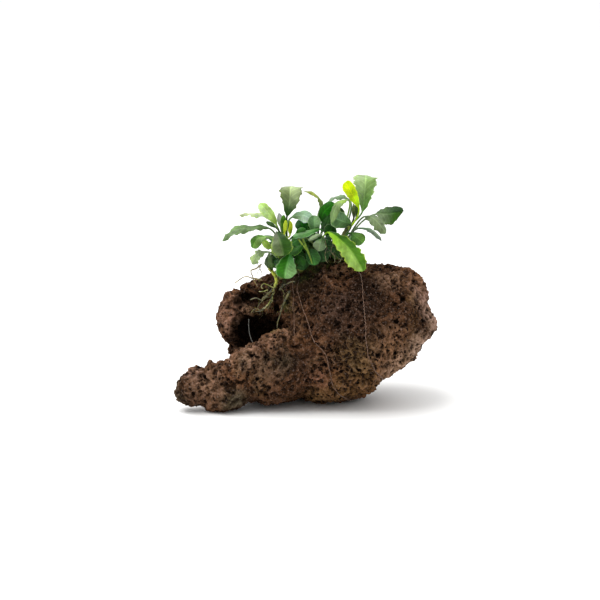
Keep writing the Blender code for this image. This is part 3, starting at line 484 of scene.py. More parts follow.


# The leaves: leathery blades with a firm midrib and wavy edges, each on a short stalk from a stem. Young
# ones are thin and yellow-green, old ones dark and firm, and those deep in the clump are painted darker
# still as painted shade. Every blade is a lens in section, folded a little at its midrib.

# Each leaf, in the order of their numbers: its height as a share of the stem's, points of the midrib from
# the foot of the blade to its tip in millimetres, the blade's width, the way its upper face looks, its fold
# and wave, how fast its tip narrows, and five colours: at foot and tip on one side of the midrib, the same
# on the other side, and at the rim. The first side is on the right of a leaf that stands up, and the lower
# one of a leaf that points right.
# The colours are each leaf's own greens with painted light laid in: where the halves differ, part of that is
# painted light on the half that faces the lamp and painted shade on the other, pale greyish patches are
# painted highlights, and leaves deep in the clump are painted darker as painted shade.
LEAVES = {
    "left": [
        (0.59, [(-19.3, -11.9, 102.3), (-31.5, -15.9, 103.8), (-39.4, -17.9, 102.6), (-46, -18.9, 96.7)],
         6.3, (-0.1, -0.7, 1), 0.25, 0.9, 0.6, "#48682f #6f9050 #5c7844 #7f9c68 #445c34"),
        (0.79, [(-15.9, -7.1, 103.4), (-20.8, -1.1, 109.7), (-25.8, 3.9, 114.5)], 6.6, (0.3, -1, 0.2),
         0.15, 0.4, 0.45, "#7f9c34 #a2bf6a #8fb040 #b6d08a #bcd29a"),
        (0.83, [(-19.4, 4.3, 105.3), (-27.5, 9.5, 107.5), (-38, 14.5, 106.2)], 6, (0, -0.2, 1),
         0.3, 0.8, 0.7, "#a4ba80 #a9b67c #aec494 #a8b684 #8d9b58"),
        (0.97, [(-10.3, -10, 108.8), (-8.7, -11.5, 117), (-8.1, -10, 125), (-7.3, -4, 125.4)],
         13, (-0.2, -1, 0.1), 0.15, 0.6, 0.28, "#1f4a06 #a8b886 #1c4406 #82925f #5e6836"),
        (0.9, [(-7.8, -5.1, 107.8), (-1.8, -6.1, 109.4), (4.5, -7.1, 106.3)], 8, (0.2, -0.75, 0.65),
         0.2, 0.3, 0.5, "#7fa868 #c0dcc0 #74a066 #a8ccaa #cfe8d6"),
        (0.6, [(-16, -17, 101.5), (-13.8, -22, 96.7), (-12, -24, 89.5)], 12.2, (-0.1, -0.9, 0.45),
         0.2, 0.5, 0.4, "#6a745a #6e8250 #2c5214 #346014 #94b048"),
        (0.45, [(-21.3, -17.4, 98.9), (-26.5, -20.1, 98.3), (-29.2, -20.5, 93)], 8, (-0.3, -0.7, 0.7),
         0.2, 0.3, 0.45, "#5f8c34 #4a7c20 #86a860 #6a9040 #3a601c"),
        (0.2, [(-20.6, -14, 89.7), (-25.2, -16, 89.8), (-29.8, -17, 83.3)], 7.4, (-0.2, -0.5, 0.85),
         0.2, 0.8, 0.5, "#7f9c5c #b0c884 #94b070 #a4bc84 #4a6034"),
        (0.33, [(-20, -9.3, 88.4), (-20.8, -12.7, 85.5), (-20.3, -8.6, 78)], 6.5, (-0.6, -0.75, 0.2),
         0.2, 0.3, 0.5, "#2c4420 #3c5a24 #5d7348 #4c6834 #2c4420"),
        (0.25, [(-8.6, -19, 89.6), (-10.3, -22, 83.2), (-11.5, -22, 76.2)], 11.8, (0.1, -0.95, 0.3),
         0.2, 0.4, 0.4, "#246808 #347414 #4a8c44 #84b26c #90bc7c"),
        (0.33, [(-1.1, -18.1, 94.6), (-4.7, -19.6, 91.9), (-8.7, -22.9, 90.2)], 5, (0, -0.6, 0.8),
         0.3, 0.2, 0.6, "#205c02 #306c06 #144600 #1e4e02 #4f842a"),
        (0.07, [(-3.3, -10.5, 89.6), (-1.9, -13.5, 84.8), (-0.7, -13.5, 79.3)], 8, (0.2, -0.9, 0.3),
         0.2, 0.2, 0.5, "#1f4a14 #2a581c #1a400e #24501a #3f6c30"),
        (0.27, [(-19, -17.4, 92.2), (-21.1, -17.4, 93.9), (-23.5, -17.3, 97.3)], 4, (0, -1, 0.3),
         0.3, 0.2, 0.7, "#86a83c #a5c455 #8fb044 #b0cc66 #c0d880"),
        (1, [(-8.6, -2.1, 97.2), (-8.6, -1.6, 101.1), (-8.9, -1.6, 105.5)], 3.4, (0, -1, 0),
         0.4, 0, 0.6, "#c0d030 #f0f848 #d4e038 #e8f048 #f0f468"),
        (0.95, [(-13.8, 0, 101.4), (-14.3, 4, 105.2), (-14.9, 8, 108.4)], 3.6, (0, -1, 0),
         0.4, 0.2, 0.7, "#58763a #8f938e #6a8248 #868b84 #9a9e98"),
        (0.5, [(-0.6, -9, 96.2), (-4, -11, 96.1), (-7.4, -11, 94)], 7, (0, -0.8, 0.6),
         0.2, 0.2, 0.45, "#2f6434 #4f8840 #2c5c30 #447c38 #74a470"),
        (0.11, [(-16.2, -6.5, 89), (-17.9, -7.3, 85.4), (-17.2, -1.4, 78)], 8, (-0.3, -0.9, 0.2),
         0.2, 0.2, 0.5, "#35591c #3c6420 #2d4f18 #33581c #4a7030"),
        (0.65, [(-15, -2, 92), (-21, 7, 95.5), (-27, 16, 91)], 10, (-0.2, 0.5, 1),
         0.2, 0.5, 0.45, "#3a642a #4a7a36 #3f6b2f #507f3a #6a9450"),
        (0.3, [(-9, -3, 88), (-8, 9, 90), (-10, 20, 84)], 9, (0, 0.3, 1),
         0.2, 0.5, 0.45, "#34602a #447434 #3a682e #4a7a38 #5f8a48"),
    ],
    "middle": [
        (0.99, [(-0.1, -5.6, 97.8), (-1.3, -5.7, 101.5), (-2.7, -1.7, 106.4)], 7.6, (0, -1, 0.1),
         0.2, 0.3, 0.45, "#14500f #186410 #10440a #185408 #3a742a"),
        (0.85, [(5.2, -9, 99.2), (5.2, -11, 104.3), (4.9, -9.5, 109.8)], 7.2, (0, -1, 0.1),
         0.2, 0.3, 0.45, "#56883f #84ac74 #447434 #64905a #90b88a"),
        (0.59, [(8.3, -12, 102.3), (1.2, -14.9, 100.7), (-7.1, -15.8, 98.7)], 5, (0, -0.6, 0.8),
         0.15, 0.3, 0.5, "#508436 #78a46a #326a20 #548644 #90bc84"),
        (0.96, [(8.3, -4.9, 104.8), (11, -6.2, 111.5), (16.6, -5.1, 115.9)], 6.6, (-0.2, -1, 0.1),
         0.2, 0.3, 0.5, "#246010 #247c08 #1f500f #2a7410 #2a641c"),
        (1, [(7.4, 1, 108.2), (9.5, 4, 114.6), (5.7, 6, 119.4), (-0.6, 5, 121.4)], 4.6, (0.7, -0.35, 0.6),
         0.3, 0.4, 0.7, "#5c8436 #7f8c36 #6a8f4c #8a9440 #4c5822"),
        (0.34, [(9.5, -14.9, 97.6), (8.3, -19.4, 95.3), (7.7, -17.4, 90.8)], 7.4, (0, -1, 0.1),
         0.35, 0.2, 0.4, "#466634 #7a8e66 #324c20 #6c845c #98b088"),
        (0.12, [(0.8, -12, 91), (4, -15.5, 87.9), (5.2, -17, 82.7)], 8, (-0.1, -0.9, 0.3),
         0.2, 0.3, 0.5, "#26502a #34642c #285424 #3c6c30 #567f4c"),
        (0.42, [(12.8, -3.6, 96.6), (13.2, -6.8, 91.2), (14.3, -6.9, 86.7)], 7, (0.2, -0.9, 0.3),
         0.2, 0.3, 0.5, "#26452c #2c4f2e #21401f #284a26 #3f6440"),
        (0.05, [(8.3, -11, 90.5), (9.8, -13.7, 87.9), (11.3, -14.3, 84.3)], 7, (0, -0.9, 0.4),
         0.2, 0.3, 0.5, "#1c3a1a #23441f #1f3d1c #274a24 #3a5c34"),
        (0.6, [(12.6, -8, 99.8), (22.3, -16, 94.2), (32.1, -22, 80.3)], 12.2, (0.3, -0.8, 0.55),
         0.12, 0.75, 0.47, "#94cc1c #a2c860 #356c04 #52841c #b8d84c"),
        (0.49, [(15.8, 6.2, 93.1), (16.2, 5.7, 89), (20.1, 6.7, 83.2)], 10, (0.2, -0.9, 0.3),
         0.2, 0.3, 0.5, "#10300a #183c0e #102c0a #163a0e #2c5220"),
        (0.39, [(11, 12.6, 90.6), (8.8, 11.5, 86.9), (10.2, 4.6, 82.9)], 9, (0, -1, 0.2),
         0.2, 0.3, 0.5, "#123008 #183c0e #102c0a #163a0e #2c5220"),
        (0.9, [(9.2, 2, 98), (12, 6, 101.3), (14.9, 10, 107.4)], 7.5, (0, -1, 0.1),
         0.2, 0.3, 0.45, "#28501e #305c26 #244a1a #2c5622 #44703a"),
        (0.36, [(3.6, -1, 95.3), (2, -4.7, 92.5), (1.6, -4.1, 87)], 9, (0, -1, 0.2),
         0.2, 0.3, 0.5, "#33601f #3c6c26 #2d571c #366422 #4c7c3c"),
        (0.7, [(6.9, 7.2, 89.9), (5.4, 12.9, 95.5), (3.9, 22.9, 89.9)], 9, (0, 0.3, 1),
         0.2, 0.5, 0.45, "#33602a #447636 #3a6a2b #4a7c38 #5f8c48"),
        (0.31, [(11.3, 5.6, 87.6), (16, 12.3, 87.8), (16.7, 21.7, 81.3)], 8.5, (0.1, 0.3, 1),
         0.2, 0.5, 0.45, "#305a26 #407034 #366428 #467636 #5a8644"),
    ],
    "right": [
        (0.88, [(30.3, -4.3, 112.7), (27.3, -6.4, 119.8), (22.4, -9.2, 128.6)], 6.8, (0.2, -1, 0.1),
         0.2, 0.3, 0.36, "#bcec1c #e4ff00 #ccf410 #ecff08 #f0ff30"),
        (1, [(32.4, 5, 109.1), (33.8, 9, 117.8), (34.7, 13, 127.8), (35, 18.5, 128.6)], 13.6, (0, -1, 0.1),
         0.15, 0.7, 0.22, "#5e9038 #8caa64 #648f40 #a0b97e #b0c896"),
        (0.51, [(40.3, 5.2, 108.1), (48, 7.4, 107.8), (56.5, 11.5, 108.8)], 11.5, (0, -0.85, 0.55),
         0.5, 0.4, 0.8, "#8ea478 #345e10 #62804c #123a00 #2a3a0e"),
        (0.62, [(33.1, -2.7, 107.8), (39.1, -14.1, 108), (45.2, -14.5, 100.5)], 8, (0.3, -0.8, 0.5),
         0.25, 0.6, 0.45, "#526e3c #788a60 #587444 #7a8c64 #546e42"),
        (0.52, [(29.5, -3.4, 101.2), (34.7, -0.2, 100.8), (42.9, -11.4, 95.5)], 4.5, (0.1, -0.25, 1),
         0.3, 0.3, 0.8, "#5c7a58 #64785e #7a9478 #7a8e72 #4a5c48"),
        (0.3, [(25.8, -5, 98.9), (29.2, -8, 96.9), (32.7, -9, 93.9)], 8, (0, -0.9, 0.4),
         0.2, 0.3, 0.45, "#447430 #5c8a3c #4f7f30 #64903c #3a5f24"),
        (0.9, [(24.9, -2.6, 116.9), (18.1, -13.1, 116.8), (14.5, -14.8, 106.3)], 6.5, (-0.5, -0.6, 0.6),
         0.25, 0.3, 0.6, "#90b838 #6c8850 #98bc3c #78925a #567044"),
        (1, [(25.2, 4, 116.3), (18.9, 8, 117.8), (11.5, 11, 113.1)], 6, (0, -0.4, 1),
         0.2, 0.6, 0.6, "#6a8a54 #86a27c #5f8048 #7a9872 #4a5f3e"),
        (0.7, [(25.8, -6, 103.8), (20.6, -10, 106.7), (14.9, -11, 109)], 10, (0, -1, 0.15),
         0.2, 0.3, 0.4, "#4c7834 #749c6c #345c20 #608a50 #94b488"),
        (0.69, [(27.5, 4, 105.3), (27.8, -1.5, 111.1), (27.3, 0.1, 115.2)], 3, (0, -1, 0),
         0.5, 0, 0.8, "#5c6a38 #647240 #4f5c30 #5a6838 #707c4c"),
        (0.55, [(24, 8, 92), (28, 18, 94), (32, 29, 88)], 10, (0, 0.3, 1),
         0.2, 0.5, 0.45, "#3a682c #4a7c38 #3f6b2f #508240 #6a9450"),
        (0.35, [(20.6, 4.5, 91.5), (15.7, 20.1, 89.6), (14.3, 30.9, 84)], 9, (-0.2, 0.3, 1),
         0.2, 0.5, 0.45, "#345f28 #447434 #3a6a2b #4a7c38 #5f8c48"),
    ],
}
# Leaves whose tip is cut off at a slant: how far one edge runs ahead, as a share of the half width
CUT_TIPS = {"leaf_right_3": 1.1, "leaf_right_2": -0.3, "leaf_middle_10": 0.1}
STALK_RADIUS = 0.5
STALK_GAP = 0.8
# A stem's radius up its height, as shares of both
STEM_TAPER = ([0, 0.6, 0.8, 0.93, 1], [1.05, 0.95, 0.8, 0.62, 0.35])
RIB_WIDTH = 0.55
# How high the midrib stands on the lower and on the upper face
RIB_HEIGHTS = (0.38, 0.12)
# Rows of points in a blade, rows in its stalk, and points in each row's ring
FINE_GRID = (52, 9, 32)
SMALL_GRID = (24, 5, 12)
COARSE_GRID = (10, 3, 8)


def smooth_curve(points, stations):
    """Places at these shares of the chord length along a smooth curve through points. Between two points
    it is a Hermite cubic. The slope at a point is that of the parabola through it and its neighbours."""
    points = np.array(points, float)
    gaps = np.linalg.norm(np.diff(points, axis=0), axis=1)
    chord = np.concatenate([[0.0], np.cumsum(gaps)])
    slopes = np.diff(points, axis=0) / gaps[:, None]
    inner = (slopes[:-1] * gaps[1:, None] + slopes[1:] * gaps[:-1, None]) / (gaps[:-1] + gaps[1:])[:, None]
    first = 1.5 * slopes[:1] - 0.5 * inner[:1]
    last = 1.5 * slopes[-1:] - 0.5 * inner[-1:]
    tangents = np.concatenate([first, inner, last])
    at = np.asarray(stations) * chord[-1]
    span = np.clip(np.searchsorted(chord, at, side="right") - 1, 0, len(points) - 2)
    gap = gaps[span][:, None]
    s = ((at - chord[span]) / gaps[span])[:, None]
    return (
        (2 * s**3 - 3 * s**2 + 1) * points[span]
        + (s**3 - 2 * s**2 + s) * gap * tangents[span]
        + (3 * s**2 - 2 * s**3) * points[span + 1]
        + (s**3 - s**2) * gap * tangents[span + 1]
    )


def unit(vectors):
    """The vectors at length one."""
    return vectors / np.linalg.norm(vectors, axis=-1, keepdims=True)


def eased(share):
    """A share from 0 to 1 that starts and ends gently: 3 t^2 - 2 t^3, with t held between 0 and 1."""
    held = np.clip(share, 0, 1)
    return held**2 * (3 - 2 * held)


def frames(line, across, start):
    """The direction of a line at each of its points, and two more at right angles to it. The second one
    starts as across at point number start. Each point takes its neighbour's, less what runs along the
    line."""
    ahead = unit(np.gradient(line, axis=0))
    side = np.empty_like(line)
    side[start] = unit(across - across @ ahead[start] * ahead[start])
    onward = [(k, k - 1) for k in range(start + 1, len(line))]
    back = [(k, k + 1) for k in range(start - 1, -1, -1)]
    for here, before in onward + back:
        side[here] = unit(side[before] - side[before] @ ahead[here] * ahead[here])
    return ahead, side, np.cross(ahead, side)


def rings_to_mesh(name, rings, closed=False):
    """A closed mesh over rings of points, in millimetres, that run counter-clockwise about the way ahead.
    Point j of ring k is corner (k, j) of a grid that wraps round. An open row of rings gets a cap at each
    end. Several rows of one size, stacked, give one mesh of as many closed bodies."""
    rows = rings.reshape(-1, *rings.shape[-3:])
    bodies, count, size = rows.shape[:3]
    number = np.arange(bodies * count * size).reshape(bodies, count, size)
    beside = np.roll(number, -1, axis=2)
    last = count if closed else count - 1
    ahead = np.roll(number, -1, axis=1)[:, :last]
    ahead_beside = np.roll(beside, -1, axis=1)[:, :last]
    faces = np.stack([number[:, :last], beside[:, :last], ahead_beside, ahead], axis=-1)
    faces = faces.reshape(-1, 4).tolist()
    if not closed:
        faces += number[:, 0, ::-1].tolist() + number[:, -1].tolist()
    mesh = bpy.data.meshes.new(name)
    mesh.from_pydata((rings.reshape(-1, 3) * MM).tolist(), [], faces)
    mesh.shade_smooth()
    return mesh


def leaf_rings(points, width, face, fold, wave, narrowing, phase, slant=0.0, grid=FINE_GRID):
    """Rings round a leaf, whose line runs through points: stalk, then blade. At share u of the blade the
    half width is u^0.9 (1 - u)^narrowing, scaled to a peak of width / 2, and notched at the rim by sines
    every 4.3 and 1.9 mm. At share x of that half width, from -1 to 1, the blade lies fold |x| above its
    midrib. A long wave that grows as x |x| lifts one edge and lowers the other, with a short ripple on
    it. The skin lies an ellipse's height above and below, and a bell curve gives the midrib. A slant
    moves one edge forward by slant u^2 x. Also gives u, x, and 1 on the lower face."""
    blade_rows, stalk_rows, columns = grid
    gaps = np.linalg.norm(np.diff(points, axis=0), axis=1)
    foot = gaps[0] / gaps.sum()
    u = 1 - (1 - np.linspace(0, 1, blade_rows)) ** 1.7
    stations = np.concatenate([np.linspace(0, foot, stalk_rows, endpoint=False), foot + (1 - foot) * u])
    line = smooth_curve(points, stations)
    middle = int(np.searchsorted(stations, foot + (1 - foot) * 0.46))
    ahead, side, up = frames(line, np.cross(face, line[middle + 1] - line[middle - 1]), middle)
    u = np.concatenate([np.zeros(stalk_rows), u])[:, None]
    along = 2 * np.pi * gaps.sum() * stations[:, None]
    turn = 2 * np.pi * np.arange(columns)[None] / columns
    x = -np.cos(turn) * np.ones_like(u)
    peak = 0.9 / (0.9 + narrowing)
    outline = u**0.9 * (1 - u) ** narrowing / (peak**0.9 * (1 - peak) ** narrowing)
    ragged = np.sin(along / 4.3 + 2.1 * np.sign(x) + phase + np.sin(9 * u + phase))
    ragged += 0.5 * np.sin(along / 1.9 + 4.3 * np.sign(x) + 3 * phase + 2 * np.sin(13 * u))
    notch = 1 + 0.13 * wave * ragged * np.abs(x) ** 3
    half = np.maximum(width / 2 * outline * notch, STALK_RADIUS * np.where(u < 0.5, 1, 0.12))
    started = eased(u / 0.12)
    folded = fold * half * started * (np.sqrt(x**2 + 0.02) - np.sqrt(0.02))
    waved = wave * outline * np.sin(15 * u + phase) * x * np.abs(x)
    uneven = np.sin(31 * u + 2 * phase + 1.3 * np.sign(x) + 1.6 * np.sin(8 * u + phase))
    rippled = 0.55 * wave * outline * uneven * np.abs(x) ** 2.5
    thick = np.interp(u, [0, 0.15, 1], [STALK_RADIUS, 0.28, 0.16])
    below = np.sin(turn) > 0
    skin = thick * np.sin(turn) * np.where(u > 0, np.abs(np.sin(turn)) ** 0.3, 1)
    rib = started * (1 - u) ** 0.5 * np.exp(-((x * half / RIB_WIDTH) ** 2)) * np.where(below, *RIB_HEIGHTS)
    height = folded + waved + rippled + skin + rib
    rings = line[:, None] + (x * half)[..., None] * side[:, None] - height[..., None] * up[:, None]
    rings += (slant * u**2 * x * half)[..., None] * ahead[:, None]
    return rings, u * np.ones_like(x), x, below * np.ones_like(u)


def leaf_tint(u, x, codes):
    """A leaf's colour: from foot to tip on either side of the midrib, and the rim's over the last tenth
    of the half width."""
    foot_a, tip_a, foot_b, tip_b, rim = (np.array(colour(code)) for code in codes)
    share = eased((u - 0.12) / 0.6)[..., None]
    other = np.clip(0.5 + x / 0.16, 0, 1)[..., None]
    side_a = foot_a * (1 - share) + tip_a * share
    side_b = foot_b * (1 - share) + tip_b * share
    tint = side_a * (1 - other) + side_b * other
    edge = (np.clip((np.abs(x) - 0.86) / 0.14, 0, 1) * np.clip(u / 0.15, 0, 1))[..., None]
    return tint * (1 - edge) + rim * edge


def leaf_piece(name, leaves, finish):
    """One leaf, or several joined ones, as a new piece with its finish. Each is its leaf_rings and five
    colours."""
    rings, u, x, below = (np.stack(part) for part in zip(*(shape for shape, _ in leaves)))
    mesh = rings_to_mesh(name, rings)
    tint = np.stack([leaf_tint(shape[1], shape[2], codes) for shape, codes in leaves])
    store(mesh, tint=tint, along=u, across=x, below=below)
    mesh.materials.append(finish)
    piece = new_object(name, mesh)
    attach(piece, "root")
    return piece


def leaf_finish(name, gloss, shine, glow, vein):
    """A living leaf: a waxy skin over wet green flesh that light passes through. The midrib and the side
    veins, which curve forward from it, are paler. The tint comes from the leaf, and cells and age mottle
    it."""
    made, add, fill = new_material(name)
    place = add("TexCoord").outputs["Object"]
    tint = add("Attribute", attribute_name="tint")
    along, across, below = (
        add("Attribute", attribute_name=layer).outputs["Fac"] for layer in ("along", "across", "below")
    )
    out = add("Math", [across], "ABSOLUTE")
    bend = add("Math", [out, 0.7], "POWER")
    lag = add("Math", [bend, -3.2], "MULTIPLY")
    count = add("Math", [along, 15.0, lag], "MULTIPLY_ADD")
    wobble = add("Math", [count, 1.0], "PINGPONG")
    side_vein = add("MapRange", [wobble, 0.72, 1.0, 0.0, 0.6])
    rib = add("MapRange", [out, 0.03, 0.1, 1.0, 0.0])
    lines = add("Math", [side_vein, rib], "MAXIMUM")
    mottle = add("TexNoise", {"Vector": place, "Scale": 170.0, "Detail": 3.0, "Roughness": 0.55})
    shade = add("MapRange", [mottle, 0.33, 0.67, 0.45, 0.95])
    flesh = add("VectorMath", {0: tint, "Scale": shade}, "SCALE")
    paler = add("Math", [lines, vein, 1.0], "MULTIPLY_ADD")
    veined = add("VectorMath", {0: flesh, "Scale": paler}, "SCALE")
    bare = add("Math", [below, 0.3], "MULTIPLY")
    turned = add("Mix", {0: bare, 6: veined, 7: colour("#8ba07a")}, data_type="RGBA")
    cells = add("TexNoise", {"Vector": place, "Scale": 1500.0, "Detail": 2.0})
    relief = add("Math", [lines, -0.6, cells], "MULTIPLY_ADD")
    bump = add("Bump", {"Height": relief, "Strength": 0.7, "Distance": 0.2e-3})
    fill({
        "Base Color": turned, "Normal": bump, "Roughness": gloss, "IOR": 1.42, "Specular IOR Level": shine,
        "Subsurface Weight": glow, "Subsurface Radius": (0.7, 1.0, 0.15), "Subsurface Scale": 1.0e-3,
    })
    return made


def stalk_foot(stem, height, blade_foot):
    """Where a leaf stalk leaves its stem: on the side that faces the blade, a gap outside the bark."""
    low, high = np.array(STEMS[stem], float)
    axis = low + (high - low) * height
    stem_way = unit(high - low)
    out = np.array(blade_foot, float) - axis
    out = unit(out - out @ stem_way * stem_way)
    return axis + out * (STEM_RADIUS * np.interp(height, *STEM_TAPER) + STALK_GAP)


# A leaf's finish by its age: how rough its wax is and how much it shines, how much light its flesh lets
# through, and how pale its veins are
FINISHES = {
    "young_leaf": leaf_finish("young leaf", 0.4, 0.15, 0.45, 0.3),
    "green_leaf": leaf_finish("green leaf", 0.34, 0.15, 0.12, 0.6),
    "pale_leaf": leaf_finish("pale leaf", 0.4, 0.2, 0.2, 0.45),
    "dark_leaf": leaf_finish("dark leaf", 0.34, 0.12, 0.03, 0.8),
}
slots = {part["node"]: part["material_slot"] for part in frame["record"]["subparts"]}
for stem, rows in LEAVES.items():
    for number, (height, midrib, width, face, fold, wave, narrowing, codes) in enumerate(rows, 1):
        name = f"leaf_{stem}_{number}"
        points = np.array([stalk_foot(stem, height, midrib[0]), *midrib]) + FOOT_OF_STONE
        shape = leaf_rings(points, width, face, fold, wave, narrowing, 9 * height, CUT_TIPS.get(name, 0.0))
        leaf = leaf_piece(name + "_fine", [(shape, codes.split())], FINISHES[slots[name]])
        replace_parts(leaf, name)


# The roots: soft pale yellow-green cords, as the plant grows in water, that leave the rhizome and feel
# their way down over the stone and into its hollow. Their tips are whitish. A few are brown and thin, and
# stand free.

# Each root's points and its radius, in millimetres
ROOTS = {
    "root_1": ([(-16, -13, 74), (-16.3, -9, 71), (-17.2, -5, 67.3), (-18.3, -3, 62.7), (-18.9, -2.5, 59.1),
                (-21.2, -3, 56.9), (-24.6, -4, 54.8)], 0.75),
    "root_2": ([(-18.7, -6.2, 66.4), (-21.2, -5, 63.2), (-24.6, -4, 60), (-28.1, -3.5, 61.1),
                (-31.5, -3, 59.8)], 0.5),
    "root_3": ([(-24.6, -15, 82.9), (-27.5, -14, 80.3), (-30.4, -12, 78.7), (-29.8, -9, 74.6),
                (-26.9, -3, 67.6)], 0.35),
    "root_4": ([(-24.6, -12, 73.4), (-30.4, -12.5, 74.7), (-33.8, -12, 75.2), (-37.2, -11, 73.2),
                (-40.1, -10, 70.7)], 0.35),
    "root_5": ([(-14.5, -11, 67.5), (-11.5, -14, 71), (-5.7, -21, 74.3)], 0.45),
    "root_6": ([(-8.6, -21, 68.7), (-11.5, -18, 62.2), (-13.8, -15, 55.1), (-15.5, -13, 48.8),
                (-16, -13, 45.5)], 0.45),
}
# A root's radius along it, as shares of both
ROOT_TAPER = ([0, 0.3, 0.45, 0.8, 0.97, 1], [1.35, 1.15, 0.65, 0.55, 0.4, 0.1])
# How many points along it and sides round it a root, a rootlet and a root hair have
ROOT_POINTS, ROOT_SIDES = 90, 10
ROOTLET_POINTS, ROOTLET_SIDES = 40, 8
HAIR_POINTS, HAIR_SIDES = 8, 3


def tube_rings(line, radii, sides):
    """Rings round a line: its places plus radius times cos and sin of even turns along two crosswise
    directions."""
    _, side, up = frames(line, np.array([1.0, 0.3, 0.2]), 0)
    turn = 2 * np.pi * np.arange(sides)[None, :, None] / sides
    around = np.cos(turn) * side[:, None] + np.sin(turn) * up[:, None]
    return line[:, None] + np.reshape(radii, (-1, 1, 1)) * around


def root_finish(name, codes, fading):
    """A fine root: soft, damp, a little see-through and mottled with three colours. Its tip fades this
    far to whitish."""
    made, add, fill = new_material(name)
    place = add("TexCoord").outputs["Object"]
    mottle = add("TexNoise", {"Vector": place, "Scale": 420.0, "Detail": 3.0})
    skin = add("ValToRGB", [mottle], stops=list(zip((0.36, 0.5, 0.64), codes)))
    along = add("Attribute", attribute_name="along").outputs["Fac"]
    tip = add("MapRange", [along, 0.55, 1.0, 0.0, fading])
    grown = add("Mix", {0: tip, 6: skin, 7: colour("#c9c29a")}, data_type="RGBA")
    bump = add("Bump", {"Height": mottle, "Strength": 0.5, "Distance": 0.15e-3})
    fill({
        "Base Color": grown, "Normal": bump, "Roughness": 0.45,
        "Subsurface Weight": 0.4, "Subsurface Radius": (0.9, 0.8, 0.3), "Subsurface Scale": 0.8e-3,
    })
    return made


def root_piece(name, rings, finish):
    """One root, or several joined ones, as a new piece."""
    mesh = rings_to_mesh(name, rings)
    store(mesh, along=np.linspace(0, 1, rings.shape[-3])[:, None] * np.ones(rings.shape[:-1]))
    mesh.materials.append(finish)
    piece = new_object(name, mesh)
    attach(piece, "root")
    return piece


live_root = root_finish("live root", ["#566020", "#868a38", "#b4b070"], 0.7)
young_root = root_finish("young root", ["#6c7814", "#9aa41a", "#c0c63c"], 0.2)
mossy_root = root_finish("mossy root", ["#2c2c12", "#45431e", "#6a6438"], 0.25)
old_root = root_finish("old root", ["#5f5230", "#7a6c40", "#968858"], 0.2)
stations = np.linspace(0, 1, ROOT_POINTS)
for k, (name, (points, radius)) in enumerate(ROOTS.items()):
    line = smooth_curve(points + FOOT_OF_STONE, stations)
    line += 0.9 * radius * wandering(line + 7 * k, 2.6, 151) * np.sin(np.pi * stations)[:, None]
    radii = radius * np.interp(stations, *ROOT_TAPER) * (1 + 0.12 * np.sin(70 * stations + k))
    radii = np.maximum(radii, 0.3 * np.minimum(1, 12 * (1.02 - stations)))
    finish = {"root_1": live_root, "root_3": old_root, "root_4": old_root}.get(name, mossy_root)
    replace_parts(root_piece(name + "_fine", tube_rings(line, radii, ROOT_SIDES), finish), name)


# Rootlets: smaller roots that branch from the six large ones and lie on the ledge of the hollow, or hang
# down between the stems. They are joined into three pieces by age: thick lime-green young ones at the
# rhizome's left end, pale ones in full growth, and old ones that are grown over with moss.
YOUNG_ROOTS = [
    ([(-15.5, -12.5, 75.2), (-17, -12, 76.6), (-19, -11.5, 78.4), (-21.2, -11, 79.8)], 0.9),
    ([(-18.9, -12.5, 78.6), (-17, -13, 76.2), (-16.4, -13, 73.4), (-17.4, -12.5, 69)], 1.05),
    ([(-17, -12.5, 76), (-15, -13.5, 76.8), (-14, -13.8, 78.2)], 0.6),
]
PALE_ROOTS = [
    ([(-17.2, -8, 67.9), (-20.1, -7, 68.9), (-22.3, -7, 70), (-24.4, -7.5, 69.7), (-24.9, -8, 68.3),
      (-23.5, -8, 67.4)], 0.33),
    ([(-21.2, -8, 66.6), (-24.1, -8, 66.1), (-26.4, -8, 65.9)], 0.3),
    ([(-18.6, -7, 61.6), (-21.2, -9, 58.7), (-23.2, -9.5, 56.2)], 0.38),
]
ROOTLETS = [
    ([(-20.1, -7, 58.9), (-22.3, -7.5, 56.9), (-24.6, -8, 55.2), (-28.1, -7, 55.5), (-30.9, -6, 53.2)], 0.3),
    ([(-16.6, -9, 71), (-17.8, -8, 65.6), (-19.3, -8, 61.5), (-20.3, -8.5, 57.4), (-21.9, -9, 55.6)], 0.3),
    ([(-18.5, -6, 63), (-22, -7, 62), (-26, -7.5, 58.5), (-27.5, -7, 56)], 0.2),
    ([(-14.5, -12, 69.5), (-12, -15, 66), (-12.5, -16, 60), (-14.5, -15.5, 55)], 0.22),
    ([(-17, -10, 72), (-20.5, -12, 69), (-22, -13, 64.5), (-25, -13, 62)], 0.18),
    ([(-24.6, -12, 82.5), (-26.8, -12, 77.6), (-28.6, -11, 72.8)], 0.16),
    ([(-26.9, -12, 82.5), (-24.6, -11, 76.6), (-26.4, -9, 71.5)], 0.16),
    ([(-18, -9, 66), (-21, -9.5, 65), (-23.5, -10, 62.5), (-24.5, -10, 60.2)], 0.28),
    ([(-19, -8, 60), (-22, -9, 57), (-26, -9.5, 54.5), (-29, -9, 54.8)], 0.22),
    ([(11, -12, 96), (12, -15, 92), (11, -17, 88), (13, -18, 84)], 0.3),
    ([(16, -12, 94), (14.5, -15, 90.5), (16.5, -17.5, 87), (16, -18, 84)], 0.28),
    ([(20, -11, 93), (19, -14, 90), (20.5, -16.5, 87), (18.5, -18, 84)], 0.25),
    ([(13, -14, 91), (16, -16.5, 89), (19, -17, 86.5), (22, -17, 85.5)], 0.2),
]
HAIR_COUNT = 90
HAIR_LENGTHS = (1.2, 4.0)
HAIR_RADII = (0.1, 0.03)
stations = np.linspace(0, 1, ROOTLET_POINTS)
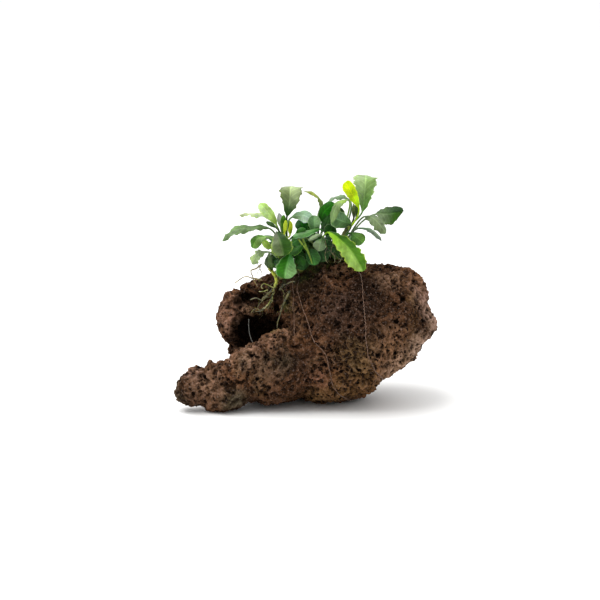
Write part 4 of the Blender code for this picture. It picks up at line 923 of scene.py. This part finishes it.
for name, lines, finish in [("rootlets", ROOTLETS, mossy_root), ("pale_roots", PALE_ROOTS, live_root),
                            ("young_roots", YOUNG_ROOTS, young_root)]:
    rows = []
    for k, (points, radius) in enumerate(lines):
        line = smooth_curve(points + FOOT_OF_STONE, stations)
        line += 0.5 * wandering(line + 5 * k, 1.9, 171)
        radii = radius * np.interp(stations, [0, 0.9, 1], [1, 0.65, 0.1])
        rows.append(tube_rings(line, radii, ROOTLET_SIDES))
    root_piece(name, np.stack(rows), finish)

# Root hairs, joined: they stand off the roots in all directions, a fifth of a millimetre thick and less.
lot = np.random.default_rng(3)
rows = []
for start in lot.integers(0, len(ROOTLETS), HAIR_COUNT):
    foot = smooth_curve(ROOTLETS[start][0] + FOOT_OF_STONE, [lot.random()])[0]
    way = unit(lot.normal(size=3) + (0, -0.6, -0.5)) * lot.uniform(*HAIR_LENGTHS)
    bend = lot.normal(size=3) * 0.8
    points = [foot, foot + 0.5 * way + bend, foot + way + 2 * bend * (0, 0, 1)]
    line = smooth_curve(points, np.linspace(0, 1, HAIR_POINTS))
    rows.append(tube_rings(line, np.linspace(*HAIR_RADII, HAIR_POINTS), HAIR_SIDES))
root_piece("root_hairs", np.stack(rows), mossy_root)


# The small leaves: new ones that are still rolled, and narrow ones between the large leaves, joined into
# one piece and made like the large ones.

# Each leaf's points from the stem to its tip, its width, the way its upper face looks, and its colour
SMALL_LEAVES = [
    ([(-12.6, -10, 96.5), (-16, -9.5, 102.5), (-19, -9.5, 104.6), (-22, -9, 106)],
     2.6, (0, -1, 0.3), "#3c5a2c"),
    ([(-12, -11, 96), (-12.6, -12, 101.6), (-12.4, -12.4, 106), (-12, -12, 110.4)],
     3.2, (0, -1, 0), "#3f7414"),
    ([(7, -5, 96), (8.6, -14, 99.8), (5, -16, 98.6), (1.7, -16, 96.8)], 2.8, (0, -1, 0.3), "#9bb387"),
    ([(6, -6, 92), (-1.1, -17, 97.5), (0.8, -18, 93), (3.4, -17.5, 86)], 1.0, (0, -1, 0.2), "#6f8a34"),
    ([(-2, -12, 97), (0, -18, 94), (2, -18.5, 89.5), (4, -18, 83.5)], 0.9, (0, -1, 0.2), "#7c9638"),
    ([(-4, -12, 98), (-2.9, -18, 96.4), (-1, -18.6, 94), (1.1, -18.4, 91.1)], 0.8, (0, -1, 0.2), "#86a03c"),
    ([(-11.4, -12, 96.5), (-11.6, -13.4, 99.5), (-11.2, -14, 103.5), (-10.8, -14, 107.8)],
     2.4, (0, -1, 0), "#d0e838"),
    ([(23, -2, 101), (22.3, -4, 107.5), (20.8, -4.5, 110.5), (18.9, -4, 113.3)],
     3.2, (0, -1, 0.2), "#33502a"),
    ([(25.5, -1.5, 102), (29, -2, 107.6), (29.4, -2.4, 112), (29.2, -2, 116.4)], 2.6, (0, -1, 0), "#3f5a2c"),
    ([(-11, -8, 93), (-6, -12, 99), (-3, -14, 101.5), (0.5, -14, 102.5)], 4.0, (0, -1, 0.4), "#2a6414"),
    ([(-11, -11, 88), (-5, -17, 88.5), (-2.5, -19, 86.5), (-0.5, -19.5, 83)], 4.5, (0, -1, 0.2), "#1d4a0c"),
    ([(8, -4, 90), (16, -12, 92), (19, -14, 90), (21, -15, 86)], 5.0, (0, -1, 0.2), "#26481a"),
    ([(5, -1, 92), (3, 1, 97), (2.5, 2, 101), (3, 3, 104)], 7.5, (0, -1, 0.1), "#1f5014"),
    ([(-12, -6, 95), (-11.6, -5, 99), (-11.2, -5, 103), (-11, -5, 107)], 4.4, (0, -1, 0.1), "#4a8a18"),
    ([(5, -3, 91), (2, -1.5, 95), (0, -1, 98), (-1, -1, 101)], 7.0, (0, -1, 0.1), "#2a5c1c"),
    ([(8, -2, 91), (12, 0, 95.5), (14, 1, 99), (16, 2, 102.5)], 7.5, (0, -1, 0.1), "#1f4c14"),
    ([(4, -2, 84), (1, 1, 88), (0, 2, 86.5), (-1, 2.5, 83)], 6.0, (0, -1, 0.1), "#17380c"),
]
young = []
for k, (points, width, face, code) in enumerate(SMALL_LEAVES):
    shape = leaf_rings(points + FOOT_OF_STONE, width, face, 0.4, 0.3, 0.6, 2.0 * k, grid=SMALL_GRID)
    young.append((shape, [code] * 5))
small_leaves = leaf_piece("small_leaves", young, FINISHES["green_leaf"])


# The undergrowth: small old leaves that crowd round the feet of the stems, dark as old leaves are and
# painted darker still as painted shade deep in the clump, firm, each on a short stalk. They stand round a
# stem at the golden angle, as leaves do. Those of one stem are joined.

# How many there are on each stem, and how far up it they stand
UNDERGROWTH = {"left": (44, 0.7), "middle": (44, 0.75), "right": (26, 0.35)}
# Painted shade: the undergrowth's greens are darker than old leaves alone would be, for the shade deep in
# the clump
DARK_GREENS = ["#17380c", "#1f4a14", "#2a5a1c", "#183a1a", "#22502a", "#33602a", "#3a4a1c"]
PALE_RIM = "#3a6a2c"
GOLDEN_ANGLE = 2.4
# The least and the most of how far a leaf reaches out, how far it rises, and its width, in millimetres
REACHES = (6.0, 11.5)
RISES = (-1.5, 4.5)
LEAF_WIDTHS = (3.6, 6.4)
for stem, (count, highest) in UNDERGROWTH.items():
    low, high = np.array(STEMS[stem], float)
    crowd = []
    for k in range(count):
        axis = low + (high - low) * highest * (k + 0.5) / count
        out = np.array([np.cos(GOLDEN_ANGLE * k), np.sin(GOLDEN_ANGLE * k), 0.0])
        reach = lot.uniform(*REACHES)
        rise = lot.uniform(*RISES)
        points = axis + FOOT_OF_STONE + np.array([
            1.2 * out, 0.4 * reach * out + (0, 0, 1.5 + 0.5 * rise),
            0.75 * reach * out + (0, 0, 1.2 + rise), reach * out + (0, 0, rise - 1.0),
        ])
        face = 0.6 * out + (0, -0.4, 0.6)
        shape = leaf_rings(points, lot.uniform(*LEAF_WIDTHS), face, 0.25, 0.4, 0.5, k, grid=COARSE_GRID)
        foot, tip = lot.choice(DARK_GREENS, 2)
        crowd.append((shape, [foot, tip, foot, tip, PALE_RIM]))
    undergrowth = leaf_piece("undergrowth_" + stem, crowd, FINISHES["dark_leaf"])


# The moss and algae: a felt of short threads on the crown under the plant and down the damp right edge of
# the hollow, each thread a few cells wide and bent at its tip. They are joined and grow on the stone.

# Lines that the moss grows along, and how far it spreads from them, in millimetres
MOSS_LINES = [
    ([(-16, -12, 75), (-6, -12, 76), (6, -6, 80), (18, -2, 82), (30, 4, 80)], 4.5),
    ([(-14, -14, 72), (-12.5, -14, 62), (-14, -13, 52), (-16, -13, 44)], 2.8),
    ([(-20, -8, 52.5), (-27, -5, 52.5), (-33, -4, 53)], 2.5),
    ([(-14, 4, 74), (0, 10, 76), (16, 14, 78), (30, 16, 76)], 6.0),
]
MOSS_THREADS = 8000
MOSS_LENGTHS = (0.7, 2.2)
# A thread's rise above its foot, as shares of its length, and its thickness at those three places
MOSS_RISE = np.array([-0.2, 0.5, 1.0])
MOSS_THICKNESS = np.array([0.14, 0.12, 0.03])[:, None, None]
stone_points, stone_normals = points_and_normals(stone.data)
stone_points = stone_points / MM
# It grows close to its lines, in patches, and on faces that look up or forward
close = np.zeros(len(stone_points))
for points, radius in MOSS_LINES:
    line = smooth_curve(points + FOOT_OF_STONE, np.linspace(0, 1, 30))
    away = np.min([np.linalg.norm(stone_points - place, axis=1) for place in line], axis=0)
    close = np.maximum(close, np.clip(1.4 - away / radius, 0, 1))
close *= np.clip(0.6 + 1.2 * rough_noise(stone_points, 3.0, 201), 0, 1)
close *= np.clip(stone_normals @ np.array([-0.3, -0.5, 0.9]) + 0.6, 0, 1)
chosen = lot.choice(len(stone_points), MOSS_THREADS, p=close / close.sum())
foot = stone_points[chosen] + lot.uniform(-0.25, 0.25, (MOSS_THREADS, 3))
way = unit(stone_normals[chosen] + 0.7 * lot.normal(size=(MOSS_THREADS, 3)))
aside = unit(np.cross(way, lot.normal(size=(MOSS_THREADS, 3))))
length = lot.uniform(*MOSS_LENGTHS, (MOSS_THREADS, 1))
rise = (length * way)[:, None] * MOSS_RISE[:, None]
middle = foot[:, None] + rise + (length * aside)[:, None] * 0.5 * MOSS_RISE[:, None] ** 2
turn = 2 * np.pi * np.arange(3)[:, None] / 3
around = np.cos(turn) * aside[:, None] + np.sin(turn) * np.cross(way, aside)[:, None]
moss_mesh = rings_to_mesh("moss", middle[:, :, None] + MOSS_THICKNESS * around[:, None])

moss_green, add, fill = new_material("moss and algae")
place = add("TexCoord").outputs["Object"]
mottle = add("TexNoise", {"Vector": place, "Scale": 300.0, "Detail": 3.0})
felt = add("ValToRGB", [mottle], stops=[(0.35, "#1a1c0c"), (0.5, "#2e3214"), (0.68, "#5a5c24")])
fill({"Base Color": felt, "Roughness": 0.8, "Specular IOR Level": 0.2})
moss_mesh.materials.append(moss_green)
moss = new_object("moss", moss_mesh)
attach(moss, "root")


# The thread: thin red-brown cotton that ties the plant to the stone. Two loops go right round, one end
# hangs down the front, and another hangs loose in the hollow. Pulled tight, it bridges the pits and
# presses on the ridges.
THREAD_RADIUS = 0.2
THREAD_SIDES = 6
# How far a thread stands off the surface, how often it is pulled tight, and its twist from ring to ring
THREAD_GAP = 0.15
PULLS = 120
TWIST = 0.7
# How many points a loop, a tied end and the loose end have
LOOP_POINTS = 240
END_POINTS = 50
LOOSE_POINTS = 40
# Whether each thread is a loop, and places where it is seen from one side, in millimetres
THREADS = {
    "thread_right": (True, [
        ("over", 29, 9), ("over", 30.5, -8), ("front", 32, 64.5), ("front", 33.2, 47), ("front", 35.2, 34),
        ("front", 42, 21), ("under", 46, 2), ("back", 42, 24), ("back", 34, 50), ("back", 30, 68),
    ]),
    "thread_middle": (True, [
        ("over", -2, 8), ("over", -4, -12), ("front", -4.6, 68), ("front", 12, 34), ("front", 14.5, 20),
        ("under", 27, -4), ("back", 27, 22), ("back", 12, 45), ("back", 3, 66),
    ]),
    "thread_left": (False, [
        ("over", -5, 2), ("over", -6, -14), ("front", -6.2, 64.5), ("front", -6, 55), ("front", -5.7, 44),
    ]),
}
LOOSE_THREAD = [(-32.1, -6.5, 49.5), (-31.9, -8.5, 43), (-30.5, -11.5, 38.5), (-29, -13, 36)]


def surface_of(pieces):
    """One tree of faces over these pieces, in millimetres, for finding their surface."""
    places, faces, first = [], [], 0
    for piece in pieces:
        points, _ = points_and_normals(piece.data)
        places.append(points / MM)
        faces += [[first + corner for corner in face.vertices] for face in piece.data.polygons]
        first += len(points)
    return BVHTree.FromPolygons(np.concatenate(places).tolist(), faces)


def seen_from(surface, side, a, b):
    """The place on the surface that is seen from one side: at x = a and z = b from the front or back, and at
    x = a and y = b from over or under it."""
    way = np.array({"front": (0, 1, 0), "back": (0, -1, 0), "over": (0, 0, -1), "under": (0, 0, 1)}[side])
    start = (a, 0, b) if side in ("front", "back") else (a, b, 0)
    start = start + FOOT_OF_STONE * (1 - np.abs(way)) - 300.0 * way
    return np.array(surface.ray_cast(Vector(start), Vector(way))[0])


def taut_line(surface, places, closed, count, gap):
    """A line through places on the surface, pulled tight between them. Each pull moves every point to the
    middle of its neighbours, and then out to the gap above the surface."""
    anchors = np.array([seen_from(surface, *place) for place in places])
    if closed:
        anchors = np.concatenate([anchors, anchors[:1]])
    chord = np.concatenate([[0], np.cumsum(np.linalg.norm(np.diff(anchors, axis=0), axis=1))])
    at = np.linspace(0, chord[-1], count, endpoint=not closed)
    line = np.stack([np.interp(at, chord, anchors[:, axis]) for axis in range(3)], axis=1)
    free = np.ones(count, bool)
    free[[int(np.argmin(abs(at - c))) for c in (chord[:-1] if closed else chord)]] = False
    for _ in range(PULLS):
        middle = (np.roll(line, 1, axis=0) + np.roll(line, -1, axis=0)) / 2
        line[free] = middle[free]
        near = [surface.find_nearest(Vector(point)) for point in line]
        foot = np.array([hit[0] for hit in near])
        normal = np.array([hit[1] for hit in near])
        short = gap - np.sum((line - foot) * normal, axis=1)
        line += np.maximum(short, 0)[:, None] * normal
        line[:, 2] = np.maximum(line[:, 2], gap)
    return line


def thread_finish(name, dark, light):
    """Twisted cotton: dull and a little downy, with painted shade where one strand dips under the next."""
    made, add, fill = new_material(name)
    twist = add("Attribute", attribute_name="twist").outputs["Fac"]
    strand = add("Math", [twist, 1.0], "PINGPONG")
    # Painted shade: the stripes along the twist are darker where a strand dips under the next
    strand_shaded = add("ValToRGB", [strand], stops=[(0.1, dark), (0.8, light)])
    fill({"Base Color": strand_shaded, "Roughness": 0.85, "Sheen Weight": 0.2})
    return made


cotton = thread_finish("cotton sewing thread", "#46301f", "#805e48")
faded_cotton = thread_finish("faded cotton thread", "#403d38", "#67665f")
surface = surface_of([stone, rhizome])
for name, (closed, places) in (THREADS | {"thread_loose": (False, None)}).items():
    if places:
        count = LOOP_POINTS if closed else END_POINTS
        line = taut_line(surface, places, closed, count, THREAD_RADIUS + THREAD_GAP)
    else:
        count = LOOSE_POINTS
        line = smooth_curve(LOOSE_THREAD + FOOT_OF_STONE, np.linspace(0, 1, count))
    if closed:
        wrapped = np.concatenate([line[-3:], line, line[:3]])
        rings = tube_rings(wrapped, np.full(count + 6, THREAD_RADIUS), THREAD_SIDES)[3:-3]
    else:
        rings = tube_rings(line, np.full(count, THREAD_RADIUS), THREAD_SIDES)
    mesh = rings_to_mesh(name + "_fine", rings, closed)
    store(mesh, twist=TWIST * np.arange(count)[:, None] + np.arange(THREAD_SIDES) / 3)
    mesh.materials.append(faded_cotton if name == "thread_loose" else cotton)
    thread = new_object(name + "_fine", mesh)
    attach(thread, "root")
    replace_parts(thread, name)
